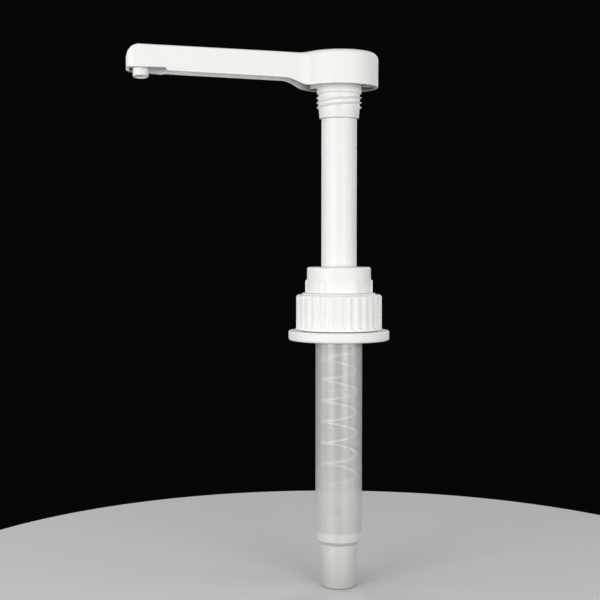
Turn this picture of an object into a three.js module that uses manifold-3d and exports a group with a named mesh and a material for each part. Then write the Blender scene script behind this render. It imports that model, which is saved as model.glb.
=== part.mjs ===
// A hand-pressed dispensing pump for thick liquids, held by a threaded neck on a wide flange.
// Millimetres, +Z up. The origin is on the pump's axis, in the underside of the flange.
// The spout points along -X. Pressing the head drives the piston down the cylinder against
// the return spring, and a ball valve at each end of the chamber lets the liquid one way only.

import * as THREE from 'three';
import { mergeVertices } from 'three/addons/utils/BufferGeometryUtils.js';
import Module from 'manifold-3d';

// Clearances
const seatGap = 0.3; // between pieces that seat on each other
const cutOverrun = 1; // how far every cutting tool runs past the piece it cuts

// Mounting flange: a wide disc with an upstanding threaded neck
const flangeOverhang = 3.65;
const flangeHeight = 4.7;
const flangeEdge = 0.7;
const neckWall = 3.2;
const neckClearance = 0.7;
const neckLead = 0.6;
const neckThreadDepth = 1.1;
const neckThreadPitch = 4.23;
const neckThreadWidth = 1.7;
const neckThreadStart = 3.4;

// Cap: a ribbed nut that clamps the cylinder's rim onto the neck
const capWall = 1.95;
const capHeight = 17;
const capFloorGap = 0.4;
const capTopWall = 1.6;
const capStepInset = 3.1;
const capStepHeight = 0.75;
const capShoulder = 2;
const capRimHeight = 1.2;
const ribDepth = 0.6;

// Lock ring: takes the head's thread when the pump is screwed down, and guides the stem
const ringWall = 4.3;
const ringHeight = 12.25;
const ringEdge = 1;
const lugDepth = 0.9;
const lugHeight = 6.4;
const lugWidth = 2.4;
const barrelRise = 7.5; // the barrel's foot above the flange
const guideLength = 7.2;
const guideTaper = 1.1;

// Cylinder: the translucent measuring chamber below the flange
const cylinderWall = 1.3;
const cylinderLength = 97.3;
const cylinderChamfer = 2.075;
const collarWall = 1.5;
const collarDrop = 1.4;
const collarTaper = 3;
const rimInset = 0.4;
const rimHeight = 1.2;
const ledgeWidth = 1.7;
const floorRise = 1.4;
const floorThickness = 5.5;
const inletSeatLand = 0.36;
const inletSeatPlay = 0.44;
const connectorStep = 2.26;
const connectorLength = 21.3;
const connectorEdge = 1.3;
const connectorWall = 2.35;

// Soft rings
const gasketThickness = 0.8;
const gasketWidth = 2.6;
const stemSealThickness = 1.2;

// Stem: the hollow rod between the piston and the head
const stemRadius = 8.53;
const stemWall = 1.5;
const stemShowing = 71.5; // plain stem between the lock ring and the head's boss, at rest
const stemClearance = 0.28;
const stemNeckStep = 0.825;
const stemNeckLength = 13.3;
const spigotStep = 1.2;
const spigotWall = 1.13;

// Piston, its retainer with the outlet valve seat, and the ring that the spring pushes on
const pistonTopGap = 0.4;
const pistonLength = 8.2;
const pistonRing = 1.5; // from the stem's wall to the cylinder's bore
const pistonWaist = 1.3;
const lipThickness = 0.55;
const lipHeight = 2;
const retainerInset = 1;
const retainerThickness = 1.2;
const retainerTubeLength = 6.7;
const outletSeatWall = 0.9;
const outletSeatLand = 0.17;
const springSeatThickness = 1.2;
const springSeatInset = 0.6;
const springSeatLip = 2;
const springSeatLipWall = 0.8;

// Valve balls and their cages
const ballPlay = 1.44;
const ballLift = 3;
const cageWall = 1.2;
const cageSlotWidth = 3.2;
const cagePlay = 0.9;
const cageFlangeInset = 0.4;
const cageVentInset = 1.56;
const stopBarWidth = 1.4;
const stopBarHeight = 2;

// Return spring
const wireRadius = 0.6;
const springSideGap = 0.7;
const springEndGap = 0.5;

// Head boss with its double-start thread
const bossWall = 1.9;
const bossGuideStep = 0.43;
const bossGuideHeight = 5.4;
const bossThreadHeight = 6.1;
const bossThreadDepth = 0.95;
const bossThreadLead = 4.66;
const bossThreadWidth = 1.35;
const bossShoulderWidth = 0.82;
const bossTopHeight = 3.2;
const bossInnerRise = 5.5;
const bossCrownSide = 2.6;
const bossCrownWall = 2.1;
const chamberStep = 1.6;

// Head shell with its spout
const headPocket = 6.5;
const headHeight = 16.25;
const headFillet = 3.3;
const shellWall = 1.5;
const shellTopWall = 1.8;
const headRibThickness = 1;
const headRibInset = 0.8;
const spoutReach = 101.6;
const spoutWidth = 13;
const spoutEdge = 1.2;
const spoutTopDrop = 1.15; // the top line at the axis, below the head's top
const spoutTipLift = 1.45; // the same line at the spout's reach, above the head's top
const spoutNoseRadius = 6;
const spoutCornerRadius = 4;
const spoutRootRise = 3.6;
const spoutTipRise = 5.9;
const spoutNotchRise = 6.35;
const spoutNotchLength = 17.9;
const spoutNotchEndInset = 2;
const spoutCurveInset = 0.9;
const spoutCurveLength = 9.5;
const spoutRootFillet = 13; // between the spout's sides and the round head, seen from above

// Liquid channel inside the spout, with its end block, plug and outlet tube
const channelRadius = 3.6;
const channelWall = 1.3;
const blockDepth = 3.75;
const blockSideGap = 0.3;
const plugLength = 2.2;
const blockEndWall = 1;
const outletRadius = 3.85;
const outletWall = 0.75;
const outletShowing = 4.6;

// Counts, angles and shares
const roundSides = 36;
const innerSides = 24;
const ribCount = 30;
const lugCount = 6;
const cageSlots = 4;
const headRibs = 8;
const bossStarts = 2;
const threadSteps = 18;
const neckThreadTurns = 1.75;
const bossThreadTurns = 1.14;
const springTurns = 9;
const springEndTurns = 0.8;
const springSteps = 8;
const wireSides = 5;
const ballSides = 16;
const ballRings = 10;
const arcSteps = 3;
const noseSteps = 6;
const ribPhase = THREE.MathUtils.degToRad(8);
const lugPhase = THREE.MathUtils.degToRad(48);
const bossThreadPhase = THREE.MathUtils.degToRad(-37);
const ribFootShare = 0.62;
const ribCrestShare = 0.3;
const threadCrestShare = 0.3;
const threadFadeShare = 0.06;
const curvePullShares = [0.2, 0.55];
const quarterTurn = Math.PI / 2;

// Heights along the axis, worked out from the sizes above
const capBase = flangeHeight + capFloorGap;
const capShoulderTop = capBase + capHeight;
const capTop = capShoulderTop + capStepHeight;
const capCeiling = capShoulderTop - capTopWall;
const rimTop = capCeiling - seatGap;
const rimBase = rimTop - rimHeight;
const gasketTop = rimBase - seatGap;
const gasketBase = gasketTop - gasketThickness;
const neckTop = gasketBase - seatGap;
const ringBase = capTop + seatGap;
const ringTop = ringBase + ringHeight;
const barrelBase = flangeHeight + barrelRise;
const stemSealTop = barrelBase - seatGap;
const stemSealBase = stemSealTop - stemSealThickness;
const ledgeTop = stemSealBase - seatGap;
const collarBase = ledgeTop - collarDrop;
const pistonTop = ledgeTop - pistonTopGap;
const pistonBase = pistonTop - pistonLength;
const retainerTop = pistonBase - seatGap;
const retainerBase = retainerTop - retainerThickness;
const springSeatTop = retainerBase - seatGap;
const springSeatBase = springSeatTop - springSeatThickness;
const springTop = springSeatBase - seatGap;
const chamberFloor = floorRise - cylinderLength;
const cageBase = chamberFloor + seatGap;
const springBase = cageBase + cageWall + seatGap;
const bossBase = ringTop + stemShowing;
const bossThreadBase = bossBase + bossGuideHeight;
const bossShoulder = bossThreadBase + bossThreadHeight;
const headBase = bossShoulder + bossTopHeight;
const headTop = headBase + headHeight;
const headCeiling = headTop - shellTopWall;
const stemShoulder = bossBase - seatGap;
const stemTop = stemShoulder + stemNeckLength;
const channelHeight = headCeiling - seatGap - channelRadius;
const blockBase = channelHeight - blockDepth;
const outletBase = blockBase - outletShowing;

// Radii worked out from the sizes above
const boreRadius = stemRadius + pistonRing;
const cylinderRadius = boreRadius + cylinderWall;
const pipeClearance = cylinderRadius + seatGap;
const barrelRadius = boreRadius + ledgeWidth;
const collarBore = barrelRadius + seatGap;
const collarRadius = collarBore + collarWall;
const neckBore = collarRadius + neckClearance;
const neckRadius = neckBore + neckWall;
const neckCrest = neckRadius + neckThreadDepth;
const rimRadius = neckRadius - rimInset;
const capBore = neckCrest + seatGap;
const capRadius = capBore + capWall;
const capRoot = capRadius - ribDepth;
const capStepRadius = capRadius - capStepInset;
const flangeRadius = capRadius + flangeOverhang;
const guideRadius = stemRadius + stemClearance;
const stemNeckRadius = stemRadius - stemNeckStep;
const stemSocket = stemNeckRadius + seatGap;
const chamberRadius = stemNeckRadius - chamberStep;
const bossRootRadius = stemSocket + bossWall;
const bossGuideRadius = bossRootRadius - bossGuideStep;
const bossTopRadius = bossRootRadius + bossShoulderWidth;
const bossCrownRadius = chamberRadius + bossCrownSide;
const bossCrest = bossRootRadius + bossThreadDepth;
const headRadius = bossTopRadius + headPocket + shellWall;
const ringThreadRoot = bossCrest + seatGap;
const ringThreadCrest = bossRootRadius + seatGap;
const ringRadius = ringThreadRoot + ringWall;
const pistonSpigotRadius = stemRadius - spigotStep;
const pistonBodyRadius = boreRadius - pistonWaist;
const lipRadius = boreRadius - seatGap;
const valveBore = pistonSpigotRadius - spigotWall;
const retainerRadius = boreRadius - retainerInset;
const ballRadius = valveBore - ballPlay;
const ballContact = ballRadius / Math.SQRT2;
const outletSeatRadius = valveBore - seatGap - outletSeatWall;
const outletBore = ballContact - outletSeatLand;
const inletSeatRadius = ballRadius + inletSeatPlay;
const inletRadius = ballContact - inletSeatLand;
const connectorRadius = cylinderRadius - connectorStep;
const dipTubeSocketRadius = connectorRadius - connectorWall;
const cageBore = ballRadius + cagePlay;
const cageRadius = cageBore + cageWall;
const cageFlangeRadius = boreRadius - cageFlangeInset;
const cageVentRadius = ballRadius - cageVentInset;
const springRadius = boreRadius - springSideGap - wireRadius;
const springSeatRadius = boreRadius - springSeatInset;
const channelBore = channelRadius - channelWall;
const plugRadius = channelBore - seatGap;
const outletTop = channelHeight - channelBore;

// Places along the spout, measured out from the axis
const spoutCurveStart = headRadius - spoutCurveInset;
const spoutCurveEnd = spoutCurveStart + spoutCurveLength;
const spoutNotchStart = spoutReach - spoutNotchLength;
const spoutNotchEnd = spoutReach - spoutNotchEndInset;
const spoutTilt = Math.atan2(spoutTopDrop + spoutTipLift, spoutReach);
const blockEnd = spoutReach - shellWall - seatGap;
const outletReach = blockEnd - blockEndWall - seatGap - outletRadius;

const wasm = await Module();
wasm.setup();

// A body of revolution about Z, from [radius, height] points listed anticlockwise:
// out along the bottom, up the outside and back along the top.
function turned(profile, sides) {
  const points = profile.map(([radius, height]) => new THREE.Vector2(radius, height));
  if (points[0].x > 0) {
    points.push(points[0].clone());
  }
  const geometry = new THREE.LatheGeometry(points, sides);
  geometry.rotateX(quarterTurn);
  return geometry;
}

// Points of a rounded corner about a centre, from one angle to another.
function corner(centreX, centreY, radius, fromQuarter, toQuarter, steps = arcSteps) {
  const points = [];
  for (let i = 0; i <= steps; i += 1) {
    const angle = quarterTurn * (fromQuarter + ((toQuarter - fromQuarter) * i) / steps);
    points.push([centreX + radius * Math.cos(angle), centreY + radius * Math.sin(angle)]);
  }
  return points;
}

// A prism standing on Z = 0 with the given outline.
function prism(outline, height) {
  const shape = new THREE.Shape(outline.map(([x, y]) => new THREE.Vector2(x, y)));
  return new THREE.ExtrudeGeometry(shape, { depth: height, bevelEnabled: false, curveSegments: 1 });
}

// A closed solid for joining and cutting, with shared corners merged.
function solid(geometry) {
  const bare = geometry.clone();
  bare.deleteAttribute('normal');
  bare.deleteAttribute('uv');
  const merged = mergeVertices(bare);
  const corners = merged.index.array;
  const triangles = [];
  for (let i = 0; i < corners.length; i += 3) {
    const [a, b, c] = [corners[i], corners[i + 1], corners[i + 2]];
    if (a !== b && b !== c && c !== a) {
      triangles.push(a, b, c);
    }
  }
  const mesh = new wasm.Mesh({
    numProp: 3,
    vertProperties: merged.attributes.position.array,
    triVerts: Uint32Array.from(triangles),
  });
  return new wasm.Manifold(mesh);
}

// The drawable surface of a joined or cut solid.
function surface(body) {
  const mesh = body.getMesh();
  const geometry = new THREE.BufferGeometry();
  geometry.setAttribute('position', new THREE.BufferAttribute(mesh.vertProperties, 3));
  geometry.setIndex(new THREE.BufferAttribute(mesh.triVerts, 1));
  geometry.computeVertexNormals();
  return geometry;
}

// A skin over rings of equally many points, closed by a flat end on the first and last ring.
function skinned(rings) {
  const around = rings[0].length;
  const positions = rings.flat().flatMap((point) => point.toArray());
  const triangles = [];
  for (let ring = 0; ring + 1 < rings.length; ring += 1) {
    for (let side = 0; side < around; side += 1) {
      const next = (side + 1) % around;
      const a = ring * around + side;
      const b = ring * around + next;
      triangles.push(a, b, b + around, a, b + around, a + around);
    }
  }
  const last = (rings.length - 1) * around;
  for (let side = 1; side + 1 < around; side += 1) {
    triangles.push(0, side + 1, side, last, last + side, last + side + 1);
  }
  const geometry = new THREE.BufferGeometry();
  geometry.setAttribute('position', new THREE.Float32BufferAttribute(positions, 3));
  geometry.setIndex(triangles);
  geometry.computeVertexNormals();
  return geometry;
}

// One thread ridge on a round wall, right-handed, fading out at both ends. A crest radius
// below the root radius makes an internal thread.
function threadRidge(root, crest, width, lead, turns, base, phase) {
  const foot = root - Math.sign(crest - root) * seatGap;
  const steps = Math.round(turns * threadSteps);
  const rings = [];
  for (let i = 0; i <= steps; i += 1) {
    const along = i / steps;
    const fade = Math.min(1, along / threadFadeShare, (1 - along) / threadFadeShare);
    const angle = phase + along * turns * 2 * Math.PI;
    const height = base + along * turns * lead;
    const tip = root + (crest - root) * fade;
    const halfFoot = width / 2;
    const halfTip = (halfFoot * threadCrestShare) + halfFoot * (1 - fade) * threadCrestShare;
    const section = [[foot, -halfFoot], [tip, -halfTip], [tip, halfTip], [foot, halfFoot]];
    rings.push(section.map(([radius, rise]) => new THREE.Vector3(
      radius * Math.cos(angle),
      radius * Math.sin(angle),
      height + rise,
    )));
  }
  if (crest > root) {
    rings.forEach((ring) => ring.reverse());
  }
  return solid(skinned(rings));
}

function piece(name, geometry, look) {
  const mesh = new THREE.Mesh(geometry, new THREE.MeshStandardMaterial(look));
  mesh.name = name;
  return mesh;
}

// Looks
const whitePlastic = { color: '#f1efeb', roughness: 0.42, metalness: 0 };
const naturalPlastic = { color: '#c9c8c2', roughness: 0.38, metalness: 0 };
const softPlastic = { color: '#e4e2da', roughness: 0.55, metalness: 0 };
const steel = { color: '#b9bbbd', roughness: 0.25, metalness: 1 };

function makeMountingFlange() {
  const thread = threadRidge(
    neckRadius,
    neckCrest,
    neckThreadWidth,
    neckThreadPitch,
    neckThreadTurns,
    flangeHeight + neckThreadStart,
    0,
  );
  const body = turned([
    [pipeClearance, 0],
    ...corner(flangeRadius - flangeEdge, flangeEdge, flangeEdge, -1, 0),
    ...corner(flangeRadius - flangeEdge, flangeHeight - flangeEdge, flangeEdge, 0, 1),
    [neckRadius, flangeHeight],
    [neckRadius, neckTop - neckLead],
    [neckRadius - neckLead, neckTop],
    [neckBore, neckTop],
    [neckBore, flangeHeight],
    [pipeClearance, flangeHeight],
  ], roundSides);
  return piece('mounting_flange', surface(solid(body).add(thread)), whitePlastic);
}

function makeNeckGasket() {
  const outer = neckRadius - neckLead;
  const ring = turned([
    [outer - gasketWidth, gasketBase],
    [outer, gasketBase],
    [outer, gasketTop],
    [outer - gasketWidth, gasketTop],
  ], roundSides);
  return piece('neck_gasket', ring, softPlastic);
}

function makeCap() {
  const envelope = solid(turned([
    [0, capBase],
    [capRadius, capBase],
    ...corner(capRadius - capShoulder, capShoulderTop - capShoulder, capShoulder, 0, 1),
    [capStepRadius, capShoulderTop],
    [capStepRadius, capTop],
    [0, capTop],
  ], ribCount * 2));
  const pitch = (2 * Math.PI) / ribCount;
  const outline = [];
  for (let i = 0; i < ribCount; i += 1) {
    const middle = ribPhase + i * pitch;
    const flanks = [
      [capRoot, -ribFootShare],
      [capRadius + cutOverrun, -ribCrestShare],
      [capRadius + cutOverrun, ribCrestShare],
      [capRoot, ribFootShare],
    ];
    flanks.forEach(([radius, share]) => {
      const angle = middle + (share * pitch) / 2;
      outline.push([radius * Math.cos(angle), radius * Math.sin(angle)]);
    });
  }
  const ribbed = solid(prism(outline, capTop - capBase).translate(0, 0, capBase));
  const rim = solid(turned([
    [0, capBase],
    [capRadius, capBase],
    [capRadius, capBase + capRimHeight],
    [0, capBase + capRimHeight],
  ], ribCount * 2));
  const hollow = solid(turned([
    [0, capBase - cutOverrun],
    [capBore, capBase - cutOverrun],
    [capBore, capCeiling],
    [collarBore, capCeiling],
    [collarBore, capTop + cutOverrun],
    [0, capTop + cutOverrun],
  ], roundSides));
  const body = envelope.intersect(ribbed.add(rim)).subtract(hollow);
  return piece('cap', surface(body), whitePlastic);
}

function makeLockRing() {
  const guideTop = barrelBase + guideLength;
  const boreAbove = ringThreadCrest;
  let body = solid(turned([
    [guideRadius, barrelBase],
    [barrelRadius, barrelBase],
    [barrelRadius, ringBase],
    [ringRadius, ringBase],
    ...corner(ringRadius - ringEdge, ringTop - ringEdge, ringEdge, 0, 1),
    [ringThreadRoot + ringEdge, ringTop],
    [ringThreadRoot, ringTop - ringEdge],
    [ringThreadRoot, ringBase + ringEdge],
    [boreAbove, ringBase],
    [boreAbove, guideTop + guideTaper],
    [guideRadius, guideTop],
  ], roundSides));
  for (let i = 0; i < bossStarts; i += 1) {
    body = body.add(threadRidge(
      ringThreadRoot,
      ringThreadCrest,
      bossThreadWidth,
      bossThreadLead,
      bossThreadTurns,
      ringBase + ringEdge + bossThreadWidth,
      (i * 2 * Math.PI) / bossStarts,
    ));
  }
  const lugProfile = [
    [0, 0],
    [ringRadius + lugDepth, 0],
    ...corner(ringRadius, lugHeight - lugDepth, lugDepth, 0, 1),
    [0, lugHeight],
  ];
  const lugBar = prism(lugProfile, lugWidth);
  lugBar.translate(0, 0, -lugWidth / 2);
  lugBar.rotateX(quarterTurn);
  lugBar.translate(0, 0, ringBase);
  const core = solid(turned([
    [0, ringBase - cutOverrun],
    [ringRadius - ringEdge, ringBase - cutOverrun],
    [ringRadius - ringEdge, ringTop],
    [0, ringTop],
  ], roundSides));
  for (let i = 0; i < lugCount; i += 1) {
    const turn = lugPhase + (i * 2 * Math.PI) / lugCount;
    body = body.add(solid(lugBar.clone().rotateZ(turn)).subtract(core));
  }
  return piece('lock_ring', surface(body), whitePlastic);
}

function makeStemSeal() {
  const ring = turned([
    [guideRadius, stemSealBase],
    [barrelRadius, stemSealBase],
    [barrelRadius, stemSealTop],
    [guideRadius, stemSealTop],
  ], innerSides);
  return piece('stem_seal', ring, softPlastic);
}

function makeCylinder() {
  const chamferTop = -cylinderLength;
  const shoulder = chamferTop - cylinderChamfer;
  const end = shoulder - connectorLength;
  const seatDepth = inletSeatRadius - inletRadius;
  const body = turned([
    [dipTubeSocketRadius, end],
    ...corner(connectorRadius - connectorEdge, end + connectorEdge, connectorEdge, -1, 0),
    [connectorRadius, shoulder],
    [cylinderRadius - cylinderChamfer, shoulder],
    [cylinderRadius, chamferTop],
    [cylinderRadius, collarBase - collarTaper],
    [collarRadius, collarBase],
    [collarRadius, rimBase],
    [rimRadius, rimBase],
    [rimRadius, rimTop],
    [collarBore, rimTop],
    [collarBore, ledgeTop],
    [boreRadius, ledgeTop],
    [boreRadius, chamberFloor],
    [inletSeatRadius, chamberFloor],
    [inletRadius, chamberFloor - seatDepth],
    [inletRadius, chamberFloor - floorThickness],
    [dipTubeSocketRadius, chamberFloor - floorThickness],
  ], roundSides);
  return piece('cylinder', body, naturalPlastic);
}

// How high a ball's centre stands over a 45 degree seat with this mouth.
function ballHeight(seatRadius) {
  return Math.SQRT2 * (ballRadius + seatGap / 2) - seatRadius;
}

function makeBall(name, height) {
  const ball = piece(name, new THREE.SphereGeometry(ballRadius, ballSides, ballRings).rotateX(quarterTurn), steel);
  ball.position.z = height;
  return ball;
}

function makeBallCage() {
  const ceiling = chamberFloor + ballHeight(inletSeatRadius) + ballRadius + ballLift + seatGap;
  const slotTop = ceiling - cageWall;
  const slotBase = cageBase + 2 * cageWall;
  let body = solid(turned([
    [cageBore, cageBase],
    [cageFlangeRadius, cageBase],
    [cageFlangeRadius, cageBase + cageWall],
    [cageRadius, cageBase + cageWall],
    [cageRadius, ceiling],
    [cageBore, ceiling + cageWall],
    [cageVentRadius, ceiling + cageWall],
    [cageVentRadius, ceiling],
    [cageBore, ceiling],
  ], innerSides));
  const slot = new THREE.BoxGeometry(cageRadius + cutOverrun, cageSlotWidth, slotTop - slotBase);
  slot.translate((cageRadius + cutOverrun) / 2 + cageBore / 2, 0, (slotTop + slotBase) / 2);
  for (let i = 0; i < cageSlots; i += 1) {
    body = body.subtract(solid(slot.clone().rotateZ((i * 2 * Math.PI) / cageSlots)));
  }
  return piece('ball_cage', surface(body), whitePlastic);
}

// The spring's centre line: closed end turns, and an even pitch between them.
function springLine() {
  const endPitch = 2 * wireRadius + springEndGap;
  const bottom = springBase + wireRadius;
  const rise = springTop - wireRadius - bottom;
  const openTurns = springTurns - 2 * springEndTurns;
  const openPitch = (rise - 2 * springEndTurns * endPitch) / openTurns;
  const points = [];
  for (let i = 0; i <= springTurns * springSteps; i += 1) {
    const turns = i / springSteps;
    const closed = Math.min(turns, springEndTurns) + Math.max(0, turns - springTurns + springEndTurns);
    const angle = turns * 2 * Math.PI;
    const height = bottom + closed * endPitch + (turns - closed) * openPitch;
    points.push(new THREE.Vector3(springRadius * Math.cos(angle), springRadius * Math.sin(angle), height));
  }
  return points;
}

function makeReturnSpring() {
  const line = springLine();
  const rings = line.map((centre) => {
    const outward = new THREE.Vector3(centre.x, centre.y, 0).normalize();
    const ring = [];
    for (let side = 0; side < wireSides; side += 1) {
      const angle = (side * 2 * Math.PI) / wireSides;
      ring.push(centre.clone()
        .addScaledVector(outward, wireRadius * Math.cos(angle))
        .add(new THREE.Vector3(0, 0, wireRadius * Math.sin(angle))));
    }
    return ring.reverse();
  });
  let least = Infinity;
  for (let i = 0; i < line.length; i += 1) {
    for (let j = i + springSteps / 2; j < line.length; j += 1) {
      least = Math.min(least, line[i].distanceTo(line[j]) - 2 * wireRadius);
    }
  }
  console.log(`return spring: least gap to itself ${least.toFixed(2)} mm`);
  return piece('return_spring', skinned(rings), steel);
}

function makeSpringSeat() {
  const lipOuter = springRadius * Math.cos(Math.PI / springSteps) - wireRadius - seatGap;
  const ring = turned([
    [lipOuter - springSeatLipWall, springSeatBase - springSeatLip],
    [lipOuter, springSeatBase - springSeatLip],
    [lipOuter, springSeatBase],
    [springSeatRadius, springSeatBase],
    [springSeatRadius, springSeatTop],
    [lipOuter - springSeatLipWall, springSeatTop],
  ], innerSides);
  return piece('spring_seat', ring, whitePlastic);
}

function makePistonRetainer() {
  const tubeRadius = valveBore - seatGap;
  const tubeTop = retainerTop + retainerTubeLength;
  const seatDepth = outletSeatRadius - outletBore;
  const body = turned([
    [outletBore, retainerBase],
    [retainerRadius, retainerBase],
    [retainerRadius, retainerTop],
    [tubeRadius, retainerTop],
    [tubeRadius, tubeTop],
    [outletSeatRadius, tubeTop],
    [outletBore, tubeTop - seatDepth],
  ], innerSides);
  return piece('piston_retainer', body, whitePlastic);
}

function makePiston() {
  const bore = pistonSpigotRadius + seatGap;
  const lipInner = lipRadius - lipThickness;
  const body = turned([
    [bore, pistonBase],
    [pistonBodyRadius - lipThickness, pistonBase],
    [pistonBodyRadius - lipThickness, pistonBase + lipHeight],
    [lipInner, pistonBase],
    [lipRadius, pistonBase],
    [lipRadius, pistonBase + lipThickness],
    [pistonBodyRadius, pistonBase + lipHeight + lipThickness],
    [pistonBodyRadius, pistonTop - lipHeight - lipThickness],
    [lipRadius, pistonTop - lipThickness],
    [lipRadius, pistonTop],
    [lipInner, pistonTop],
    [pistonBodyRadius - lipThickness, pistonTop - lipHeight],
    [pistonBodyRadius - lipThickness, pistonTop],
    [bore, pistonTop],
  ], innerSides);
  return piece('piston', body, softPlastic);
}

function makeStem() {
  const spigotTop = pistonTop + seatGap;
  const ballStop = outletBallHeight() + ballRadius + ballLift + seatGap;
  const widening = ballStop + stopBarHeight;
  const bore = stemRadius - stemWall;
  let body = solid(turned([
    [valveBore, pistonBase],
    [pistonSpigotRadius, pistonBase],
    [pistonSpigotRadius, spigotTop],
    [stemRadius, spigotTop],
    [stemRadius, stemShoulder],
    [stemNeckRadius, stemShoulder],
    [stemNeckRadius, stemTop],
    [stemNeckRadius - stemWall, stemTop],
    [stemNeckRadius - stemWall, stemShoulder - stemWall],
    [bore, stemShoulder - 2 * stemWall],
    [bore, widening + stemWall],
    [valveBore, widening],
  ], roundSides));
  const bar = new THREE.BoxGeometry(2 * valveBore + stemWall, stopBarWidth, stopBarHeight);
  bar.translate(0, 0, ballStop + stopBarHeight / 2);
  for (let i = 0; i < 2; i += 1) {
    body = body.add(solid(bar.clone().rotateZ(i * quarterTurn)));
  }
  return piece('stem', surface(body), whitePlastic);
}

function outletBallHeight() {
  return retainerTop + retainerTubeLength + ballHeight(outletSeatRadius);
}

function pipeAlongX(radius, nearX, farX, height, sides) {
  const pipe = new THREE.CylinderGeometry(radius, radius, farX - nearX, sides);
  pipe.rotateZ(quarterTurn);
  pipe.translate(-(nearX + farX) / 2, 0, height);
  return solid(pipe);
}

function pipeAlongZ(radius, low, high, reach, sides) {
  const pipe = new THREE.CylinderGeometry(radius, radius, high - low, sides);
  pipe.rotateX(quarterTurn);
  pipe.translate(-reach, 0, (low + high) / 2);
  return solid(pipe);
}

// A bar along -X with rounded corners at its far end, seen from above.
function roundedBar(nearX, farX, width, cornerRadius, low, high) {
  const half = width / 2;
  const outline = [
    [-nearX, -half],
    [-nearX, half],
    ...corner(cornerRadius - farX, half - cornerRadius, cornerRadius, 1, 2, noseSteps),
    ...corner(cornerRadius - farX, cornerRadius - half, cornerRadius, 2, 3, noseSteps),
  ];
  return solid(prism(outline, high - low).translate(0, 0, low));
}

function makeNozzleBody() {
  const crownTop = headCeiling - seatGap;
  const blockWidth = spoutWidth - 2 * (shellWall + blockSideGap);
  const innerCorner = spoutCornerRadius - shellWall - seatGap;
  let body = solid(turned([
    [0, bossBase],
    [bossGuideRadius, bossBase],
    [bossRootRadius, bossThreadBase],
    [bossRootRadius, bossShoulder],
    [bossTopRadius, bossShoulder],
    [bossTopRadius, headBase + bossInnerRise],
    [bossCrownRadius, headBase + bossInnerRise],
    [bossCrownRadius, crownTop],
    [0, crownTop],
  ], roundSides));
  for (let i = 0; i < bossStarts; i += 1) {
    body = body.add(threadRidge(
      bossRootRadius,
      bossCrest,
      bossThreadWidth,
      bossThreadLead,
      bossThreadTurns,
      bossThreadBase - bossThreadWidth / 2,
      bossThreadPhase + (i * 2 * Math.PI) / bossStarts,
    ));
  }
  body = body
    .add(pipeAlongX(channelRadius, chamberRadius, spoutNotchStart + channelRadius, channelHeight, innerSides))
    .add(roundedBar(spoutNotchStart, blockEnd, blockWidth, innerCorner, blockBase, crownTop));
  const cuts = [
    pipeAlongZ(stemSocket, bossBase - cutOverrun, stemTop + seatGap, 0, roundSides),
    pipeAlongZ(chamberRadius, stemTop, crownTop - bossCrownWall, 0, innerSides),
    pipeAlongX(channelBore, 0, blockEnd + cutOverrun, channelHeight, innerSides),
    pipeAlongZ(outletRadius + seatGap, blockBase - cutOverrun, outletTop + seatGap, outletReach, innerSides),
    pipeAlongZ(channelBore, outletTop, channelHeight, outletReach, innerSides),
  ];
  cuts.forEach((cut) => {
    body = body.subtract(cut);
  });
  return piece('nozzle_body', surface(body), whitePlastic);
}

function makeChannelPlug() {
  const plug = new THREE.CylinderGeometry(plugRadius, plugRadius, plugLength, innerSides);
  plug.rotateZ(quarterTurn);
  const end = piece('channel_plug', plug, whitePlastic);
  end.position.x = plugLength / 2 + seatGap - blockEnd;
  end.position.z = channelHeight;
  return end;
}

function makeOutletTube() {
  const tube = turned([
    [outletRadius - outletWall, 0],
    [outletRadius, 0],
    [outletRadius, outletTop - outletBase],
    [outletRadius - outletWall, outletTop - outletBase],
  ], innerSides);
  const outlet = piece('outlet_tube', tube, whitePlastic);
  outlet.position.x = -outletReach;
  outlet.position.z = outletBase;
  return outlet;
}

// The spout's outline from the side, running out along the underside and back along the top.
function spoutTopAt(reach) {
  return headTop - spoutTopDrop + reach * Math.tan(spoutTilt);
}

// Outlines seen from the side: the spout's outer form, and the space below its underside
function spoutSide() {
  const noseReach = spoutReach - spoutNoseRadius;
  const noseHeight = spoutTopAt(noseReach) - spoutNoseRadius;
  return [
    [0, headBase],
    [spoutReach, headBase],
    ...corner(noseReach, noseHeight, spoutNoseRadius, 0, 1, noseSteps),
    [0, spoutTopAt(0)],
  ];
}

function belowSpout() {
  const rootHeight = headBase + spoutRootRise;
  const [headPull, spoutPull] = curvePullShares;
  const swan = new THREE.CubicBezierCurve(
    new THREE.Vector2(spoutCurveStart, headBase),
    new THREE.Vector2(spoutCurveStart + spoutCurveLength * headPull, headBase),
    new THREE.Vector2(spoutCurveEnd - spoutCurveLength * spoutPull, rootHeight),
    new THREE.Vector2(spoutCurveEnd, rootHeight),
  );
  return [
    [spoutCurveStart, headBase - cutOverrun],
    [spoutReach + cutOverrun, headBase - cutOverrun],
    [spoutReach + cutOverrun, headBase + spoutTipRise],
    ...swan.getPoints(noseSteps).reverse().map((point) => [point.x, point.y]),
  ];
}

function acrossSpout(outline, width) {
  const slab = prism(outline, width);
  slab.rotateX(quarterTurn);
  slab.translate(0, width / 2, 0);
  slab.rotateZ(2 * quarterTurn);
  return solid(slab);
}

// Where a fillet that rounds the corner between a disc and a bar across it has its centre.
function filletCentre(discRadius, barHalf, filletRadius) {
  const across = barHalf + filletRadius;
  return [Math.sqrt((discRadius + filletRadius) ** 2 - across ** 2), across];
}

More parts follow.
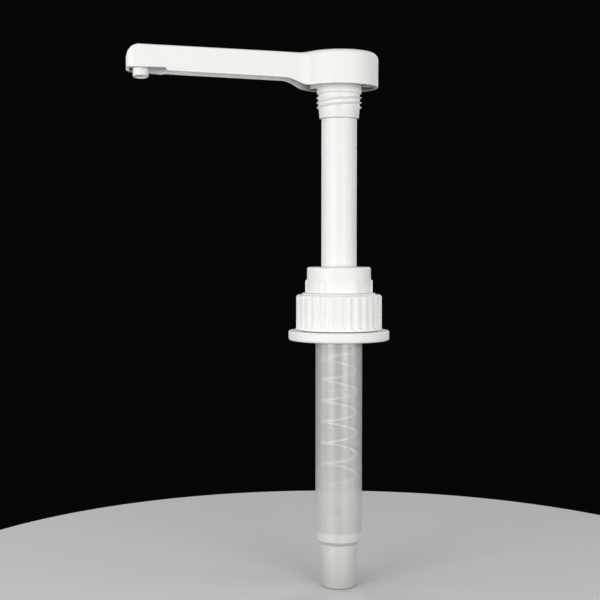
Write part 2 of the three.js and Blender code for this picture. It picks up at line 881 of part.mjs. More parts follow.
// The outline from the axis out to both fillets, seen from above.
function filletedRoot(discRadius, barHalf, filletRadius) {
  const [reach, across] = filletCentre(discRadius, barHalf, filletRadius);
  const steepest = Math.atan2(reach, across) / quarterTurn;
  const left = corner(-reach, across, filletRadius, steepest - 1, -1, noseSteps);
  const right = corner(-reach, -across, filletRadius, 1, 1 - steepest, noseSteps);
  return [[0, 0], ...left, ...right];
}

function makeHeadShell() {
  const half = spoutWidth / 2;
  const tipTop = headTop + spoutTipLift + cutOverrun;
  const section = prism([
    [-half, -headHeight - cutOverrun],
    [half, -headHeight - cutOverrun],
    ...corner(half - spoutEdge, -spoutEdge, spoutEdge, 0, 1),
    ...corner(spoutEdge - half, -spoutEdge, spoutEdge, 1, 2),
  ], spoutReach + 2 * cutOverrun);
  section.rotateX(quarterTurn);
  section.rotateZ(-quarterTurn);
  section.translate(cutOverrun, 0, 0);
  section.rotateY(spoutTilt);
  section.translate(0, 0, spoutTopAt(0));
  const plan = roundedBar(0, spoutReach, spoutWidth, spoutCornerRadius, headBase - cutOverrun, tipTop);
  const spout = acrossSpout(spoutSide(), spoutWidth).intersect(solid(section)).intersect(plan);
  const head = solid(turned([
    [0, headBase],
    [headRadius, headBase],
    ...corner(headRadius - headFillet, headTop - headFillet, headFillet, 0, 1, noseSteps),
    [0, headTop],
  ], roundSides));
  const edges = corner(headRadius - headFillet, headTop - headFillet, headFillet, 0, 1, noseSteps);
  const rootTop = spoutTopAt(filletCentre(headRadius, half, spoutRootFillet)[0]);
  const rootRings = [[headRadius, headBase], ...edges].map(([radius, height]) => {
    const rise = Math.min(spoutEdge, Math.max(0, height - rootTop + spoutEdge));
    const barHalf = half - spoutEdge + Math.sqrt(spoutEdge ** 2 - rise ** 2);
    const outline = filletedRoot(radius, barHalf, spoutRootFillet);
    return outline.map(([x, y]) => new THREE.Vector3(x, y, height));
  });
  const root = solid(skinned(rootRings)).intersect(acrossSpout(spoutSide(), 2 * headRadius));
  const innerRadius = headRadius - shellWall;
  const innerWidth = spoutWidth - 2 * shellWall;
  const innerRoot = filletedRoot(innerRadius, innerWidth / 2, spoutRootFillet + shellWall);
  const rootHollow = solid(prism(innerRoot, headCeiling - headBase + cutOverrun)
    .translate(0, 0, headBase - cutOverrun));
  const headHollow = pipeAlongZ(innerRadius, headBase - cutOverrun, headCeiling, 0, roundSides);
  const spoutHollow = roundedBar(
    0,
    spoutReach - shellWall,
    innerWidth,
    spoutCornerRadius - shellWall,
    headBase - cutOverrun,
    headCeiling,
  );
  const notch = acrossSpout([
    [spoutNotchStart - spoutNotchRise, headBase],
    [spoutNotchEnd, headBase],
    [spoutNotchEnd, headBase + spoutNotchRise],
    [spoutNotchStart, headBase + spoutNotchRise],
  ], spoutWidth).translate(0, -half, 0);
  const cuts = [headHollow, rootHollow, spoutHollow, acrossSpout(belowSpout(), 2 * headRadius), notch];
  let body = head.add(root).add(spout);
  cuts.forEach((cut) => {
    body = body.subtract(cut);
  });
  const ribInner = bossTopRadius + seatGap;
  const ribLength = innerRadius + shellWall / 2 - ribInner;
  const ribBase = headBase + headRibInset;
  const ribHeight = headCeiling + shellTopWall / 2 - ribBase;
  for (let i = 1; i < headRibs; i += 1) {
    const turn = Math.PI + (i * 2 * Math.PI) / headRibs; // none where the spout opens
    const rib = new THREE.BoxGeometry(ribLength, headRibThickness, ribHeight);
    rib.translate(ribInner + ribLength / 2, 0, ribBase + ribHeight / 2);
    rib.rotateZ(turn);
    body = body.add(solid(rib));
  }
  return piece('head_shell', surface(body), whitePlastic);
}

// Assembly: what stays on the container, what lifts with the cap, and what the hand presses down
const pump = new THREE.Group();

const container = new THREE.Group();
container.add(makeMountingFlange());

const housing = new THREE.Group();
housing.add(makeNeckGasket());
housing.add(makeCap());
housing.add(makeLockRing());
housing.add(makeStemSeal());
housing.add(makeCylinder());
housing.add(makeBallCage());
housing.add(makeBall('inlet_ball', chamberFloor + ballHeight(inletSeatRadius)));
housing.add(makeReturnSpring());

const plunger = new THREE.Group();
plunger.add(makeSpringSeat());
plunger.add(makePistonRetainer());
plunger.add(makePiston());
plunger.add(makeBall('outlet_ball', outletBallHeight()));
plunger.add(makeStem());
plunger.add(makeNozzleBody());
plunger.add(makeHeadShell());
plunger.add(makeChannelPlug());
plunger.add(makeOutletTube());

pump.add(container, housing, plunger);

export default pump;
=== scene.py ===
# %% [markdown]
# This lesson dresses a hand-pressed dispensing pump. A head with a long spout sits on a hollow stem. The
# stem slides through a lock ring and a ribbed cap, and pumps in a translucent chamber below a wide flange.
# The engineering model is already packed, so it is loaded first as a fixed frame. Each piece below is built
# in the same place and to the same size, but with the fine edges and the finish that a moulding has.

# %% Load the frame
import math

import bmesh
import bpy
import numpy as np
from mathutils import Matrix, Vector


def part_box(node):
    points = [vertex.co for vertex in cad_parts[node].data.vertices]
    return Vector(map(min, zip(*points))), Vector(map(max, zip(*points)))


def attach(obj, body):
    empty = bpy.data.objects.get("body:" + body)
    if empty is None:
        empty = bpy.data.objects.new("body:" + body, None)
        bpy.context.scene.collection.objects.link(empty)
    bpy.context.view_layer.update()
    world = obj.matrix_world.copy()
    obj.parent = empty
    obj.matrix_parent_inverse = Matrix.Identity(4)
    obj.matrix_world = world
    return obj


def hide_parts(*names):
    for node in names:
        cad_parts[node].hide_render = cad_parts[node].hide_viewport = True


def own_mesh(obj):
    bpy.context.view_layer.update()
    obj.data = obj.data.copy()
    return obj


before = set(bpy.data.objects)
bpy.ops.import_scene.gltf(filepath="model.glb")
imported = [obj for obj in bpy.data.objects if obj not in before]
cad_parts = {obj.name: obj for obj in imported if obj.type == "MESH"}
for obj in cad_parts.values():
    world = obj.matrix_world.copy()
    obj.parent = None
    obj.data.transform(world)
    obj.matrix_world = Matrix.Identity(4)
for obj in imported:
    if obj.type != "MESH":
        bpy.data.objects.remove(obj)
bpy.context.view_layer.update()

# %% [markdown]
# Blender works in metres, but a moulding is easier to think about in millimetres. So all shapes here are
# written in millimetres and turned into metres in one place. The heights that pieces share are read from
# the frame's boxes, so that a piece can't drift away from the solid that it stands for.

# %% Read the heights and reaches from the frame
MM = 0.001


def box_mm(node):
    low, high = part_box(node)
    return [round(v / MM, 4) for v in low], [round(v / MM, 4) for v in high]


flange_low, flange_high = box_mm("mounting_flange")
cap_low, cap_high = box_mm("cap")
ring_low, ring_high = box_mm("lock_ring")
chamber_low, chamber_high = box_mm("cylinder")
stem_high = box_mm("stem")[1]
nozzle_low, nozzle_high = box_mm("nozzle_body")
head_low, head_high = box_mm("head_shell")
outlet_low, outlet_high = box_mm("outlet_tube")
print("flange", flange_low, flange_high)
print("chamber", chamber_low, chamber_high)
print("head", head_low, head_high)

# %% [markdown]
# Nearly every piece of this pump is a moulding that is round about one axis. A lathe is the natural tool, an
# outline of radius and height that is swept round. What makes a moulding look real is that none of its
# corners is sharp, so the outline gives each corner its own small radius.

# %% Round the corners of an outline
ARC_STEPS = 5
LONGEST_CORNER_SHARE = 0.49


def rounded(outline, steps=ARC_STEPS):
    """A closed outline of (radius, height, corner radius) with every corner turned into an arc."""
    points = []
    for i, (x, y, size) in enumerate(outline):
        here = np.array([x, y], float)
        before = np.array(outline[i - 1][:2], float) - here
        after = np.array(outline[(i + 1) % len(outline)][:2], float) - here
        if size <= 0:
            points.append(here)
            continue
        to_before = before / np.linalg.norm(before)
        to_after = after / np.linalg.norm(after)
        half = math.acos(np.clip(to_before @ to_after, -1, 1)) / 2
        reach = min(size / math.tan(half), LONGEST_CORNER_SHARE * np.linalg.norm(before),
                    LONGEST_CORNER_SHARE * np.linalg.norm(after))
        size = reach * math.tan(half)
        middle = (to_before + to_after) / np.linalg.norm(to_before + to_after)
        centre = here + middle * size / math.sin(half)
        first = here + to_before * reach - centre
        last = here + to_after * reach - centre
        sweep = math.pi - 2 * half
        turn = np.sign(first[0] * last[1] - first[1] * last[0])
        for k in range(steps + 1):
            a = turn * sweep * k / steps
            points.append(centre + [first[0] * math.cos(a) - first[1] * math.sin(a),
                                    first[0] * math.sin(a) + first[1] * math.cos(a)])
    return np.array(points)


square = [(1, 0, 0.2), (2, 0, 0.2), (2, 1, 0.2), (1, 1, 0.2)]
print("points of a square with round corners:", len(rounded(square)))

# %% [markdown]
# The lathe itself is a grid of points: one column for each angle, one row for each point of the outline. A
# relief may change the radius of each point by its angle and height, which gives the cap its ribs without
# any cutting. An outline that starts and ends on the axis closes there.

# %% Turn an outline into a mesh
SIDES = 144
ON_AXIS = 1e-6


def mesh_object(name, points, faces):
    mesh = bpy.data.meshes.new(name)
    mesh.from_pydata([tuple(p) for p in np.asarray(points, float) * MM], [], faces)
    mesh.validate()
    obj = bpy.data.objects.new(name, mesh)
    bpy.context.scene.collection.objects.link(obj)
    return obj


def turned(name, profile, sides=SIDES, relief=None):
    profile = np.asarray(profile, float)
    rows = len(profile)
    angle = np.arange(sides) * 2 * math.pi / sides
    radius = np.repeat(profile[:, :1], sides, axis=1)
    height = np.repeat(profile[:, 1:], sides, axis=1)
    if relief:
        radius = relief(radius, height, angle[None, :])
    on_axis = profile[:, 0] < ON_AXIS
    points, number = [], np.zeros((rows, sides), int)
    for row in range(rows):
        if on_axis[row]:
            number[row] = len(points)
            points.append((0, 0, profile[row, 1]))
            continue
        number[row] = len(points) + np.arange(sides)
        points += list(np.stack([radius[row] * np.cos(angle), radius[row] * np.sin(angle), height[row]], 1))
    faces = []
    for row in range(rows):
        below, above = number[row], number[(row + 1) % rows]
        if on_axis[row] and on_axis[(row + 1) % rows]:
            continue
        for side in range(sides):
            nxt = (side + 1) % sides
            face = [below[side], below[nxt], above[nxt], above[side]]
            faces.append(list(dict.fromkeys(int(v) for v in face)))
    return mesh_object(name, points, faces)


print("the lathe has", SIDES, "sides")

# %% [markdown]
# Some shapes have to be joined or cut: threads are joined to their walls, and sockets are cut out. Blender's
# Boolean modifier does both. Its result is taken at once as the new mesh, so no cutter stays in the scene.

# %% Join and cut
RIDGE_SINK = 0.35
RIDGE_FADE_SHARE = 0.07
RIDGE_END_SHARE = 0.3
EDGE_STEPS = 3


def combined(body, tools, operation="UNION"):
    for tool in tools:
        step = body.modifiers.new(operation.lower(), "BOOLEAN")
        step.operation = operation
        step.solver = "EXACT"
        step.object = tool
        graph = bpy.context.evaluated_depsgraph_get()
        shaped = bpy.data.meshes.new_from_object(body.evaluated_get(graph))
        body.modifiers.clear()
        body.data = shaped
        bpy.data.objects.remove(tool)
    return body


def face_outward(obj):
    shape = bmesh.new()
    shape.from_mesh(obj.data)
    bmesh.ops.recalc_face_normals(shape, faces=shape.faces)
    shape.to_mesh(obj.data)
    shape.free()


def ridge(name, root, crest, width, lead, turns, base, phase=0.0, crest_share=0.16, steps=64):
    """One turn or more of a thread: a low prism wound round a wall, fading out at both ends."""
    sink = RIDGE_SINK * np.sign(crest - root)
    count = int(steps * turns)
    points, faces = [], []
    for i in range(count + 1):
        along = i / count
        fade = min(1.0, along / RIDGE_FADE_SHARE, (1 - along) / RIDGE_FADE_SHARE)
        fade = fade * fade * (3 - 2 * fade)
        angle = phase + along * turns * 2 * math.pi
        height = base + along * turns * lead
        tip = root + (crest - root) * fade
        foot, top = width / 2, width / 2 * (crest_share + (1 - fade) * RIDGE_END_SHARE)
        section = [(root - sink, -foot), (root, -foot), (tip, -top),
                   (tip, top), (root, foot), (root - sink, foot)]
        points += [(r * math.cos(angle), r * math.sin(angle), height + dz) for r, dz in section]
    around = len(section)
    for i in range(count):
        for k in range(around):
            a, b = i * around + k, i * around + (k + 1) % around
            faces.append([a, b, b + around, a + around])
    faces += [list(range(around))[::-1], [count * around + k for k in range(around)]]
    obj = mesh_object(name, points, faces)
    face_outward(obj)
    return obj


def bar(name, size, centre, turn=0.0, edge=0.0):
    """A block with softened edges, turned about the pump's axis."""
    shape = bmesh.new()
    bmesh.ops.create_cube(shape, size=1)
    for vertex in shape.verts:
        vertex.co = Vector([vertex.co[i] * size[i] + centre[i] for i in range(3)])
    if edge:
        bmesh.ops.bevel(shape, geom=list(shape.edges), offset=edge, segments=EDGE_STEPS, profile=0.5,
                        affect="EDGES")
    shape.verts.index_update()
    points = [(v.co.x * math.cos(turn) - v.co.y * math.sin(turn),
               v.co.x * math.sin(turn) + v.co.y * math.cos(turn), v.co.z) for v in shape.verts]
    faces = [[v.index for v in face.verts] for face in shape.faces]
    shape.free()
    return mesh_object(name, points, faces)


print("joining and cutting are ready")

# %% [markdown]
# A finished piece needs more than its shape. Smooth shading makes the curved walls look round, and edges
# steeper than a set angle stay crisp. The Weighted Normal modifier keeps the large flat faces flat beside
# their small fillets. Then the piece gets its finish, rides on its body and takes its solid's place.

# %% Finish a piece
CRISP_ANGLE = math.radians(38)


def dressed(obj, material, body, slot, *nodes):
    face_outward(obj)
    for face in obj.data.polygons:
        face.use_smooth = True
    obj.data.set_sharp_from_angle(angle=CRISP_ANGLE)
    even = obj.modifiers.new("even shading", "WEIGHTED_NORMAL")
    even.keep_sharp = True
    obj.data.materials.clear()
    obj.data.materials.append(material)
    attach(obj, body)
    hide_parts(*nodes)
    low = [min(v.co[i] for v in obj.data.vertices) / MM for i in range(3)]
    high = [max(v.co[i] for v in obj.data.vertices) / MM for i in range(3)]
    print(f"{obj.name}: {len(obj.data.polygons)} faces, from {np.round(low, 2)} to {np.round(high, 2)} mm")
    return obj


# %% [markdown]
# The pump is moulded in polypropylene. White polypropylene is not pure white: it is a little warm, it lets
# light in by about a millimetre, which softens its shadows, and its skin copies the fine spark texture of
# the mould. So the finish has a faint change of tone, a low bump and a roughness that is not quite even.
#
# Deep inside the hollow head the plastic looks brown and dark in the photograph, because little light gets
# there. The lamps alone left it too bright, so the head has a plastic of its own: where Ambient Occlusion
# finds that a spot is not open, its tone turns to brown. That tone is chosen, not worked out.
# This brown is painted shade. It stands in for the light that doesn't reach the hollows, and is not a colour
# of the plastic.

# %% Make the moulded plastics
CORNER_REACH = 20.0
CORNER_SAMPLES = 12
HIDDEN_SHARE = 0.12
OPEN_SHARE = 0.38
TONE_SCALE = 38
GLOSS_SCALE = 120
SKIN_HEIGHT = 0.12
REFRACTION = 1.49
LIGHT_DEPTH = (1.0, 0.94, 0.86)
WHITE = (0.86, 0.85, 0.83)
SECOND_WHITE = (0.84, 0.83, 0.81)


def moulded(name, tone, second_tone, rough, rough_spread, depth, grain=2600, skin=0.12, drawn=1.0,
            painted_shade_tone=None):
    """Two near tones, uneven gloss and a fine grain, which is drawn out along Z if drawn is below 1. If a
    shade tone is given, hollows that Ambient Occlusion finds get painted shade towards that tone.
    """
    material = bpy.data.materials.new(name)
    material.use_nodes = True
    nodes, links = material.node_tree.nodes, material.node_tree.links
    shader = nodes["Principled BSDF"]
    place = nodes.new("ShaderNodeTexCoord")
    stretch = nodes.new("ShaderNodeMapping")
    stretch.inputs["Scale"].default_value = (1, 1, drawn)
    links.new(place.outputs["Object"], stretch.inputs["Vector"])

    def noise(scale, detail):
        node = nodes.new("ShaderNodeTexNoise")
        node.inputs["Scale"].default_value = scale
        node.inputs["Detail"].default_value = detail
        links.new(stretch.outputs["Vector"], node.inputs["Vector"])
        return node.outputs["Fac"]

    tones = nodes.new("ShaderNodeMix")
    tones.data_type = "RGBA"
    tones.inputs["A"].default_value = (*tone, 1)
    tones.inputs["B"].default_value = (*second_tone, 1)
    links.new(noise(TONE_SCALE, 3), tones.inputs["Factor"])
    links.new(tones.outputs["Result"], shader.inputs["Base Color"])

    gloss = nodes.new("ShaderNodeMapRange")
    gloss.inputs["From Min"].default_value = 0.3
    gloss.inputs["From Max"].default_value = 0.7
    gloss.inputs["To Min"].default_value = rough - rough_spread
    gloss.inputs["To Max"].default_value = rough + rough_spread
    links.new(noise(GLOSS_SCALE, 4), gloss.inputs["Value"])
    links.new(gloss.outputs["Result"], shader.inputs["Roughness"])

    # Painted shade: where Ambient Occlusion finds a spot hidden, the base colour is mixed towards the dark
    # shade tone.
    if painted_shade_tone:
        corner = nodes.new("ShaderNodeAmbientOcclusion")
        corner.samples = CORNER_SAMPLES
        corner.inputs["Distance"].default_value = CORNER_REACH * MM
        open_share = nodes.new("ShaderNodeMapRange")
        open_share.interpolation_type = "SMOOTHSTEP"
        open_share.inputs["From Min"].default_value = HIDDEN_SHARE
        open_share.inputs["From Max"].default_value = OPEN_SHARE
        links.new(corner.outputs["AO"], open_share.inputs["Value"])
        shaded = nodes.new("ShaderNodeMix")
        shaded.data_type = "RGBA"
        shaded.inputs["A"].default_value = (*painted_shade_tone, 1)
        links.new(open_share.outputs["Result"], shaded.inputs["Factor"])
        links.new(tones.outputs["Result"], shaded.inputs["B"])
        links.new(shaded.outputs["Result"], shader.inputs["Base Color"])

    bump = nodes.new("ShaderNodeBump")
    bump.inputs["Strength"].default_value = skin
    bump.inputs["Distance"].default_value = SKIN_HEIGHT * MM
    links.new(noise(grain, 2), bump.inputs["Height"])
    links.new(bump.outputs["Normal"], shader.inputs["Normal"])

    shader.inputs["IOR"].default_value = REFRACTION
    shader.inputs["Subsurface Weight"].default_value = 0.3 if depth > 0 else 0.0
    shader.inputs["Subsurface Radius"].default_value = LIGHT_DEPTH
    shader.inputs["Subsurface Scale"].default_value = depth * MM
    return material


white_plastic = moulded("white_plastic", WHITE, SECOND_WHITE, 0.50, 0.05, 1.2)
# The head's plastic paints shade into its hollows, in a dark brown.
head_plastic = moulded("head_plastic", WHITE, SECOND_WHITE, 0.50, 0.05, 1.2, painted_shade_tone=(0.16, 0.13, 0.10))
stem_plastic = moulded("stem_plastic", WHITE, SECOND_WHITE, 0.44, 0.05, 1.2, 1500, 0.06, 0.06)
inner_plastic = moulded("inner_plastic", (0.78, 0.78, 0.76), (0.74, 0.74, 0.72), 0.42, 0.05, 1.0)
soft_plastic = moulded("soft_plastic", (0.70, 0.69, 0.65), (0.64, 0.63, 0.59), 0.6, 0.06, 0.8, 1800, 0.2)
print("plastics:", [m.name for m in (white_plastic, head_plastic, stem_plastic, inner_plastic, soft_plastic)])

# %% [markdown]
# The chamber is the same plastic with no white in it. Left uncoloured it is milky: the spring inside shows
# as faint slanted bands, and where the wall is thick, at the bevel and the connector, it turns paler. Part
# of the light goes straight through, which alpha does here, and a ramp along the height sets its share.
#
# A wall has an outer and an inner surface, and milk on both would hide the spring. So the surface of the bore
# is nearly clear and the outer one carries the milk. The tones and shares are matched to the photograph. They
# grow milkier towards the floor, where the photograph shows nothing of the cage or the inlet ball.

# %% Make the translucent plastic
BORE = 10.03
BORE_MARGIN = 0.3
CHAMBER_FLOOR = -95.9
FLOOR_MARGIN = 0.1
BORE_MILK = 0.05
CLOUD_SCALE = 60
CLOUD_SHARE = 0.06


def natural(name, stops, bore, bore_floor):
    """The plastic without white. Stops are (height in mm, tone, share that is milk), from top to bottom."""
    top, bottom = stops[0][0], stops[-1][0]
    material = moulded(name, stops[0][1], stops[0][1], 0.29, 0.04, 2.0, 1500, 0.05, 0.1)
    nodes, links = material.node_tree.nodes, material.node_tree.links
    shader = nodes["Principled BSDF"]
    shader.inputs["Specular IOR Level"].default_value = 1.0
    shader.inputs["Coat Weight"].default_value = 0.6
    shader.inputs["Coat Roughness"].default_value = 0.38
    place = nodes.new("ShaderNodeTexCoord")
    split = nodes.new("ShaderNodeSeparateXYZ")
    links.new(place.outputs["Object"], split.inputs["Vector"])
    down = nodes.new("ShaderNodeMapRange")
    down.inputs["From Min"].default_value = top * MM
    down.inputs["From Max"].default_value = bottom * MM
    links.new(split.outputs["Z"], down.inputs["Value"])
    ramp = nodes.new("ShaderNodeValToRGB")
    ramp.color_ramp.interpolation = "EASE"
    marks = ramp.color_ramp.elements
    while len(marks) < len(stops):
        marks.new(0.5)
    for mark, (height, tone, milk) in zip(marks, stops):
        mark.position = (height - top) / (bottom - top)
        mark.color = (*tone, milk)
    links.new(down.outputs["Result"], ramp.inputs["Fac"])
    links.new(ramp.outputs["Color"], shader.inputs["Base Color"])
    cloud = nodes.new("ShaderNodeTexNoise")
    cloud.inputs["Scale"].default_value = CLOUD_SCALE
    links.new(place.outputs["Object"], cloud.inputs["Vector"])
    veil = nodes.new("ShaderNodeMath")
    veil.operation = "MULTIPLY_ADD"
    veil.inputs[1].default_value = CLOUD_SHARE
    links.new(cloud.outputs["Fac"], veil.inputs[0])
    links.new(ramp.outputs["Alpha"], veil.inputs[2])
    flat = nodes.new("ShaderNodeVectorMath")
    flat.operation = "MULTIPLY"
    flat.inputs[1].default_value = (1, 1, 0)
    links.new(place.outputs["Object"], flat.inputs[0])
    from_axis = nodes.new("ShaderNodeVectorMath")
    from_axis.operation = "LENGTH"
    links.new(flat.outputs["Vector"], from_axis.inputs[0])

    def test(operation, value, limit):
        node = nodes.new("ShaderNodeMath")
        node.operation = operation
        links.new(value, node.inputs[0])
        node.inputs[1].default_value = limit * MM
        return node.outputs["Value"]

    both = nodes.new("ShaderNodeMath")
    both.operation = "MULTIPLY"
    links.new(test("LESS_THAN", from_axis.outputs["Value"], bore + BORE_MARGIN), both.inputs[0])
    links.new(test("GREATER_THAN", split.outputs["Z"], bore_floor - FLOOR_MARGIN), both.inputs[1])
    clear = nodes.new("ShaderNodeMix")
    clear.inputs["B"].default_value = BORE_MILK
    links.new(both.outputs["Value"], clear.inputs["Factor"])
    links.new(veil.outputs["Value"], clear.inputs["A"])
    links.new(clear.outputs["Result"], shader.inputs["Alpha"])
    return material


natural_plastic = natural("natural_plastic", [
    (-52.0, (0.76, 0.75, 0.73), 0.44),
    (-76.0, (0.66, 0.65, 0.63), 0.62),
    (-92.5, (0.65, 0.64, 0.62), 0.66),
    (-94.0, (0.76, 0.75, 0.73), 0.74),
    (-96.3, (0.76, 0.75, 0.73), 0.74),
    (-98.0, (0.72, 0.71, 0.69), 0.78),
    (-121.0, (0.62, 0.61, 0.59), 0.78),
], BORE, CHAMBER_FLOOR)
print("translucent plastic:", natural_plastic.name)

# %% [markdown]
# The valve balls are polished steel, so they need hardly any roughness. The spring is dull drawn wire. Both
# are the same metal shader, and a noise makes their gloss a little uneven.

# %% Make the steels
def steel(name, tone, rough, rough_spread, scale):
    material = bpy.data.materials.new(name)
    material.use_nodes = True
    nodes, links = material.node_tree.nodes, material.node_tree.links
    shader = nodes["Principled BSDF"]
    shader.inputs["Base Color"].default_value = (*tone, 1)
    shader.inputs["Metallic"].default_value = 1.0
    place = nodes.new("ShaderNodeTexCoord")
    speckle = nodes.new("ShaderNodeTexNoise")
    speckle.inputs["Scale"].default_value = scale
    speckle.inputs["Detail"].default_value = 5
    links.new(place.outputs["Object"], speckle.inputs["Vector"])
    gloss = nodes.new("ShaderNodeMapRange")
    gloss.inputs["To Min"].default_value = rough - rough_spread
    gloss.inputs["To Max"].default_value = rough + rough_spread
    links.new(speckle.outputs["Fac"], gloss.inputs["Value"])
    links.new(gloss.outputs["Result"], shader.inputs["Roughness"])
    return material


spring_steel = steel("spring_steel", (0.88, 0.87, 0.85), 0.6, 0.1, 900)
ball_steel = steel("ball_steel", (0.78, 0.78, 0.79), 0.1, 0.04, 300)
print("steels:", spring_steel.name, ball_steel.name)

# %% [markdown]
# The wide flange sits on the container. Only its rim shows: a plain disc with a generous radius above and
# below. A threaded neck stands up from it inside the cap. The thread is a ridge that winds round the neck.

# %% The mounting flange
CHAMBER_CLEARANCE = 11.63
NECK_RADIUS = 17.43
NECK_BORE = 14.23
NECK_TOP = 17.6
NECK_THREAD_CREST = 18.53
NECK_THREAD_WIDTH = 1.7
NECK_THREAD_LEAD = 4.23
NECK_THREAD_TURNS = 1.75
NECK_THREAD_START = 3.4
FLANGE_TOP = 4.7
flange_radius = flange_high[0]
flange = turned("flange_with_neck", rounded([
    (CHAMBER_CLEARANCE, flange_low[2], 0.3),
    (flange_radius, flange_low[2], 1.0),
    (flange_radius, FLANGE_TOP, 0.8),
    (NECK_RADIUS, FLANGE_TOP, 0.5),
    (NECK_RADIUS, NECK_TOP, 0.6),
    (NECK_BORE, NECK_TOP, 0.3),
    (NECK_BORE, FLANGE_TOP, 0.4),
    (CHAMBER_CLEARANCE, FLANGE_TOP, 0.3),
]))
neck_thread = ridge("neck_thread", NECK_RADIUS, NECK_THREAD_CREST, NECK_THREAD_WIDTH, NECK_THREAD_LEAD,
                    NECK_THREAD_TURNS, FLANGE_TOP + NECK_THREAD_START)
combined(flange, [neck_thread])
dressed(flange, white_plastic, "mounting_flange", "white_plastic", "mounting_flange")

# %% [markdown]
# The cap is turned by hand, so it has thirty grip ribs. They stand on the wall between a plain rim and a
# rounded shoulder, and each has a soft crest. A relief on the lathe makes them: it sinks the wall between
# the ribs, and fades out at the rim and over the shoulder, the way a mould is cut.

# %% The ribbed cap
RIBS = 30
RIB_PHASE = math.radians(8)
RIB_DEPTH = 0.62
CAP_RADIUS = cap_high[0]
CAP_BORE = 18.83
CAP_SHOULDER = 22.1
CAP_STEP_RADIUS = 17.6
COLLAR_BORE = 12.03
CAP_CEILING = 20.5
CREST_SHARE = 0.15
GROOVE_SHARE = 0.33
RIM_HEIGHT = 1.15
RIM_BLEND = 1.7
SHOULDER_BLEND = (1.1, 0.15)
RELIEF_DEPTH = 1.0
STEPS_PER_RIB = 14
cap_base, cap_top = cap_low[2], cap_high[2]


def smooth(value, low, high):
    t = np.clip((value - low) / (high - low), 0, 1)
    return t * t * (3 - 2 * t)


def cap_relief(radius, height, angle):
    share = (angle - RIB_PHASE) * RIBS / (2 * math.pi)
    from_crest = np.abs(share - np.round(share))
    groove = smooth(from_crest, CREST_SHARE, GROOVE_SHARE)
    up = smooth(height, cap_base + RIM_HEIGHT, cap_base + RIM_BLEND)
    over = 1 - smooth(height, *(CAP_SHOULDER - drop for drop in SHOULDER_BLEND))
    outside = radius > CAP_BORE + RELIEF_DEPTH
    return radius - RIB_DEPTH * groove * up * over * outside


wall_heights = (RIM_HEIGHT, 1.25, 1.35, 1.5, RIM_BLEND, 2.2, 5.0, 8.0, 11.0, 13.6)
wall = [(CAP_RADIUS, cap_base + height, 0) for height in wall_heights]
cap = turned("ribbed_cap", rounded([
    (CAP_BORE, cap_base, 0.3),
    (CAP_RADIUS + 0.15, cap_base, 0.35),
    (CAP_RADIUS + 0.05, cap_base + 1.0, 0.1),
    *wall,
    (CAP_RADIUS, CAP_SHOULDER, 2.3),
    (CAP_STEP_RADIUS + 0.3, CAP_SHOULDER, 0.3),
    (CAP_STEP_RADIUS, cap_top, 0.4),
    (COLLAR_BORE, cap_top, 0.2),
    (COLLAR_BORE, CAP_CEILING, 0.2),
    (CAP_BORE, CAP_CEILING, 0.6),
], 8), RIBS * STEPS_PER_RIB, cap_relief)
dressed(cap, white_plastic, "cap", "white_plastic", "cap")

# %% [markdown]
# The lock ring stands on the cap. It takes the head's thread when the pump is screwed down for transport,
# and six lugs round its lower half give a grip. Each lug is a low bar with a rounded top, joined to the wall.

# %% The lock ring
RING_RADIUS = 15.455
RING_THREAD_ROOT = 11.155
RING_THREAD_CREST = 10.205
GUIDE_RADIUS = 8.81
BARREL_RADIUS = 11.73
LUGS = 6
LUG_PHASE = math.radians(48)
LUG_HEIGHT = 6.5
LUG_DEPTH = 0.9
LUG_WIDTH = 2.4
LUG_SINK = 1.2
THREAD_LEAD = 4.66
THREAD_WIDTH = 1.35
THREAD_TURNS = 1.14
THREAD_STARTS = 2
RING_GAP = 0.08
RING_FLOOR = 1.0
GUIDE_LENGTH = 7.2
GUIDE_TAPER = 1.1
ring_base = cap_top + RING_GAP
ring_top = ring_high[2]
barrel_base = ring_low[2]
lock_ring = turned("lock_ring_body", rounded([
    (GUIDE_RADIUS, barrel_base, 0.2),
    (BARREL_RADIUS, barrel_base, 0.3),
    (BARREL_RADIUS, ring_base, 0.2),
    (RING_RADIUS, ring_base, 0.3),
    (RING_RADIUS, ring_top, 1.1),
    (RING_THREAD_ROOT, ring_top, 0.7),
    (RING_THREAD_ROOT, ring_base + RING_FLOOR, 0.4),
    (RING_THREAD_CREST, ring_base, 0.3),
    (RING_THREAD_CREST, barrel_base + GUIDE_LENGTH + GUIDE_TAPER, 0.3),
    (GUIDE_RADIUS, barrel_base + GUIDE_LENGTH, 0.2),
], 7))


def lug(turn):
    """One grip lug: an outline of reach and height with a rounded top, as wide as the lug, at its angle."""
    outer, inner = RING_RADIUS + LUG_DEPTH, RING_RADIUS - LUG_SINK
    side = rounded([(inner, ring_base, 0), (outer, ring_base, 0.25),
                    (outer, ring_base + LUG_HEIGHT, 1.3), (inner, ring_base + LUG_HEIGHT, 0)], 8)
    layers = [(-1.0, 0.45), (-0.93, 0.2), (-0.75, 0.04), (0.75, 0.04), (0.93, 0.2), (1.0, 0.45)]
    points, faces, around = [], [], len(side)
    for across, sink in layers:
        for x, z in side:
            reach = x - sink if x > RING_RADIUS - 1 else x
            y = across * LUG_WIDTH / 2
            points.append((reach * math.cos(turn) - y * math.sin(turn),
                           reach * math.sin(turn) + y * math.cos(turn), z))
    for layer in range(len(layers) - 1):
        for k in range(around):
            a, b = layer * around + k, layer * around + (k + 1) % around
            faces.append([a, b, b + around, a + around])
    faces += [list(range(around))[::-1], [(len(layers) - 1) * around + k for k in range(around)]]
    grip = mesh_object("lug", points, faces)
    face_outward(grip)
    return grip


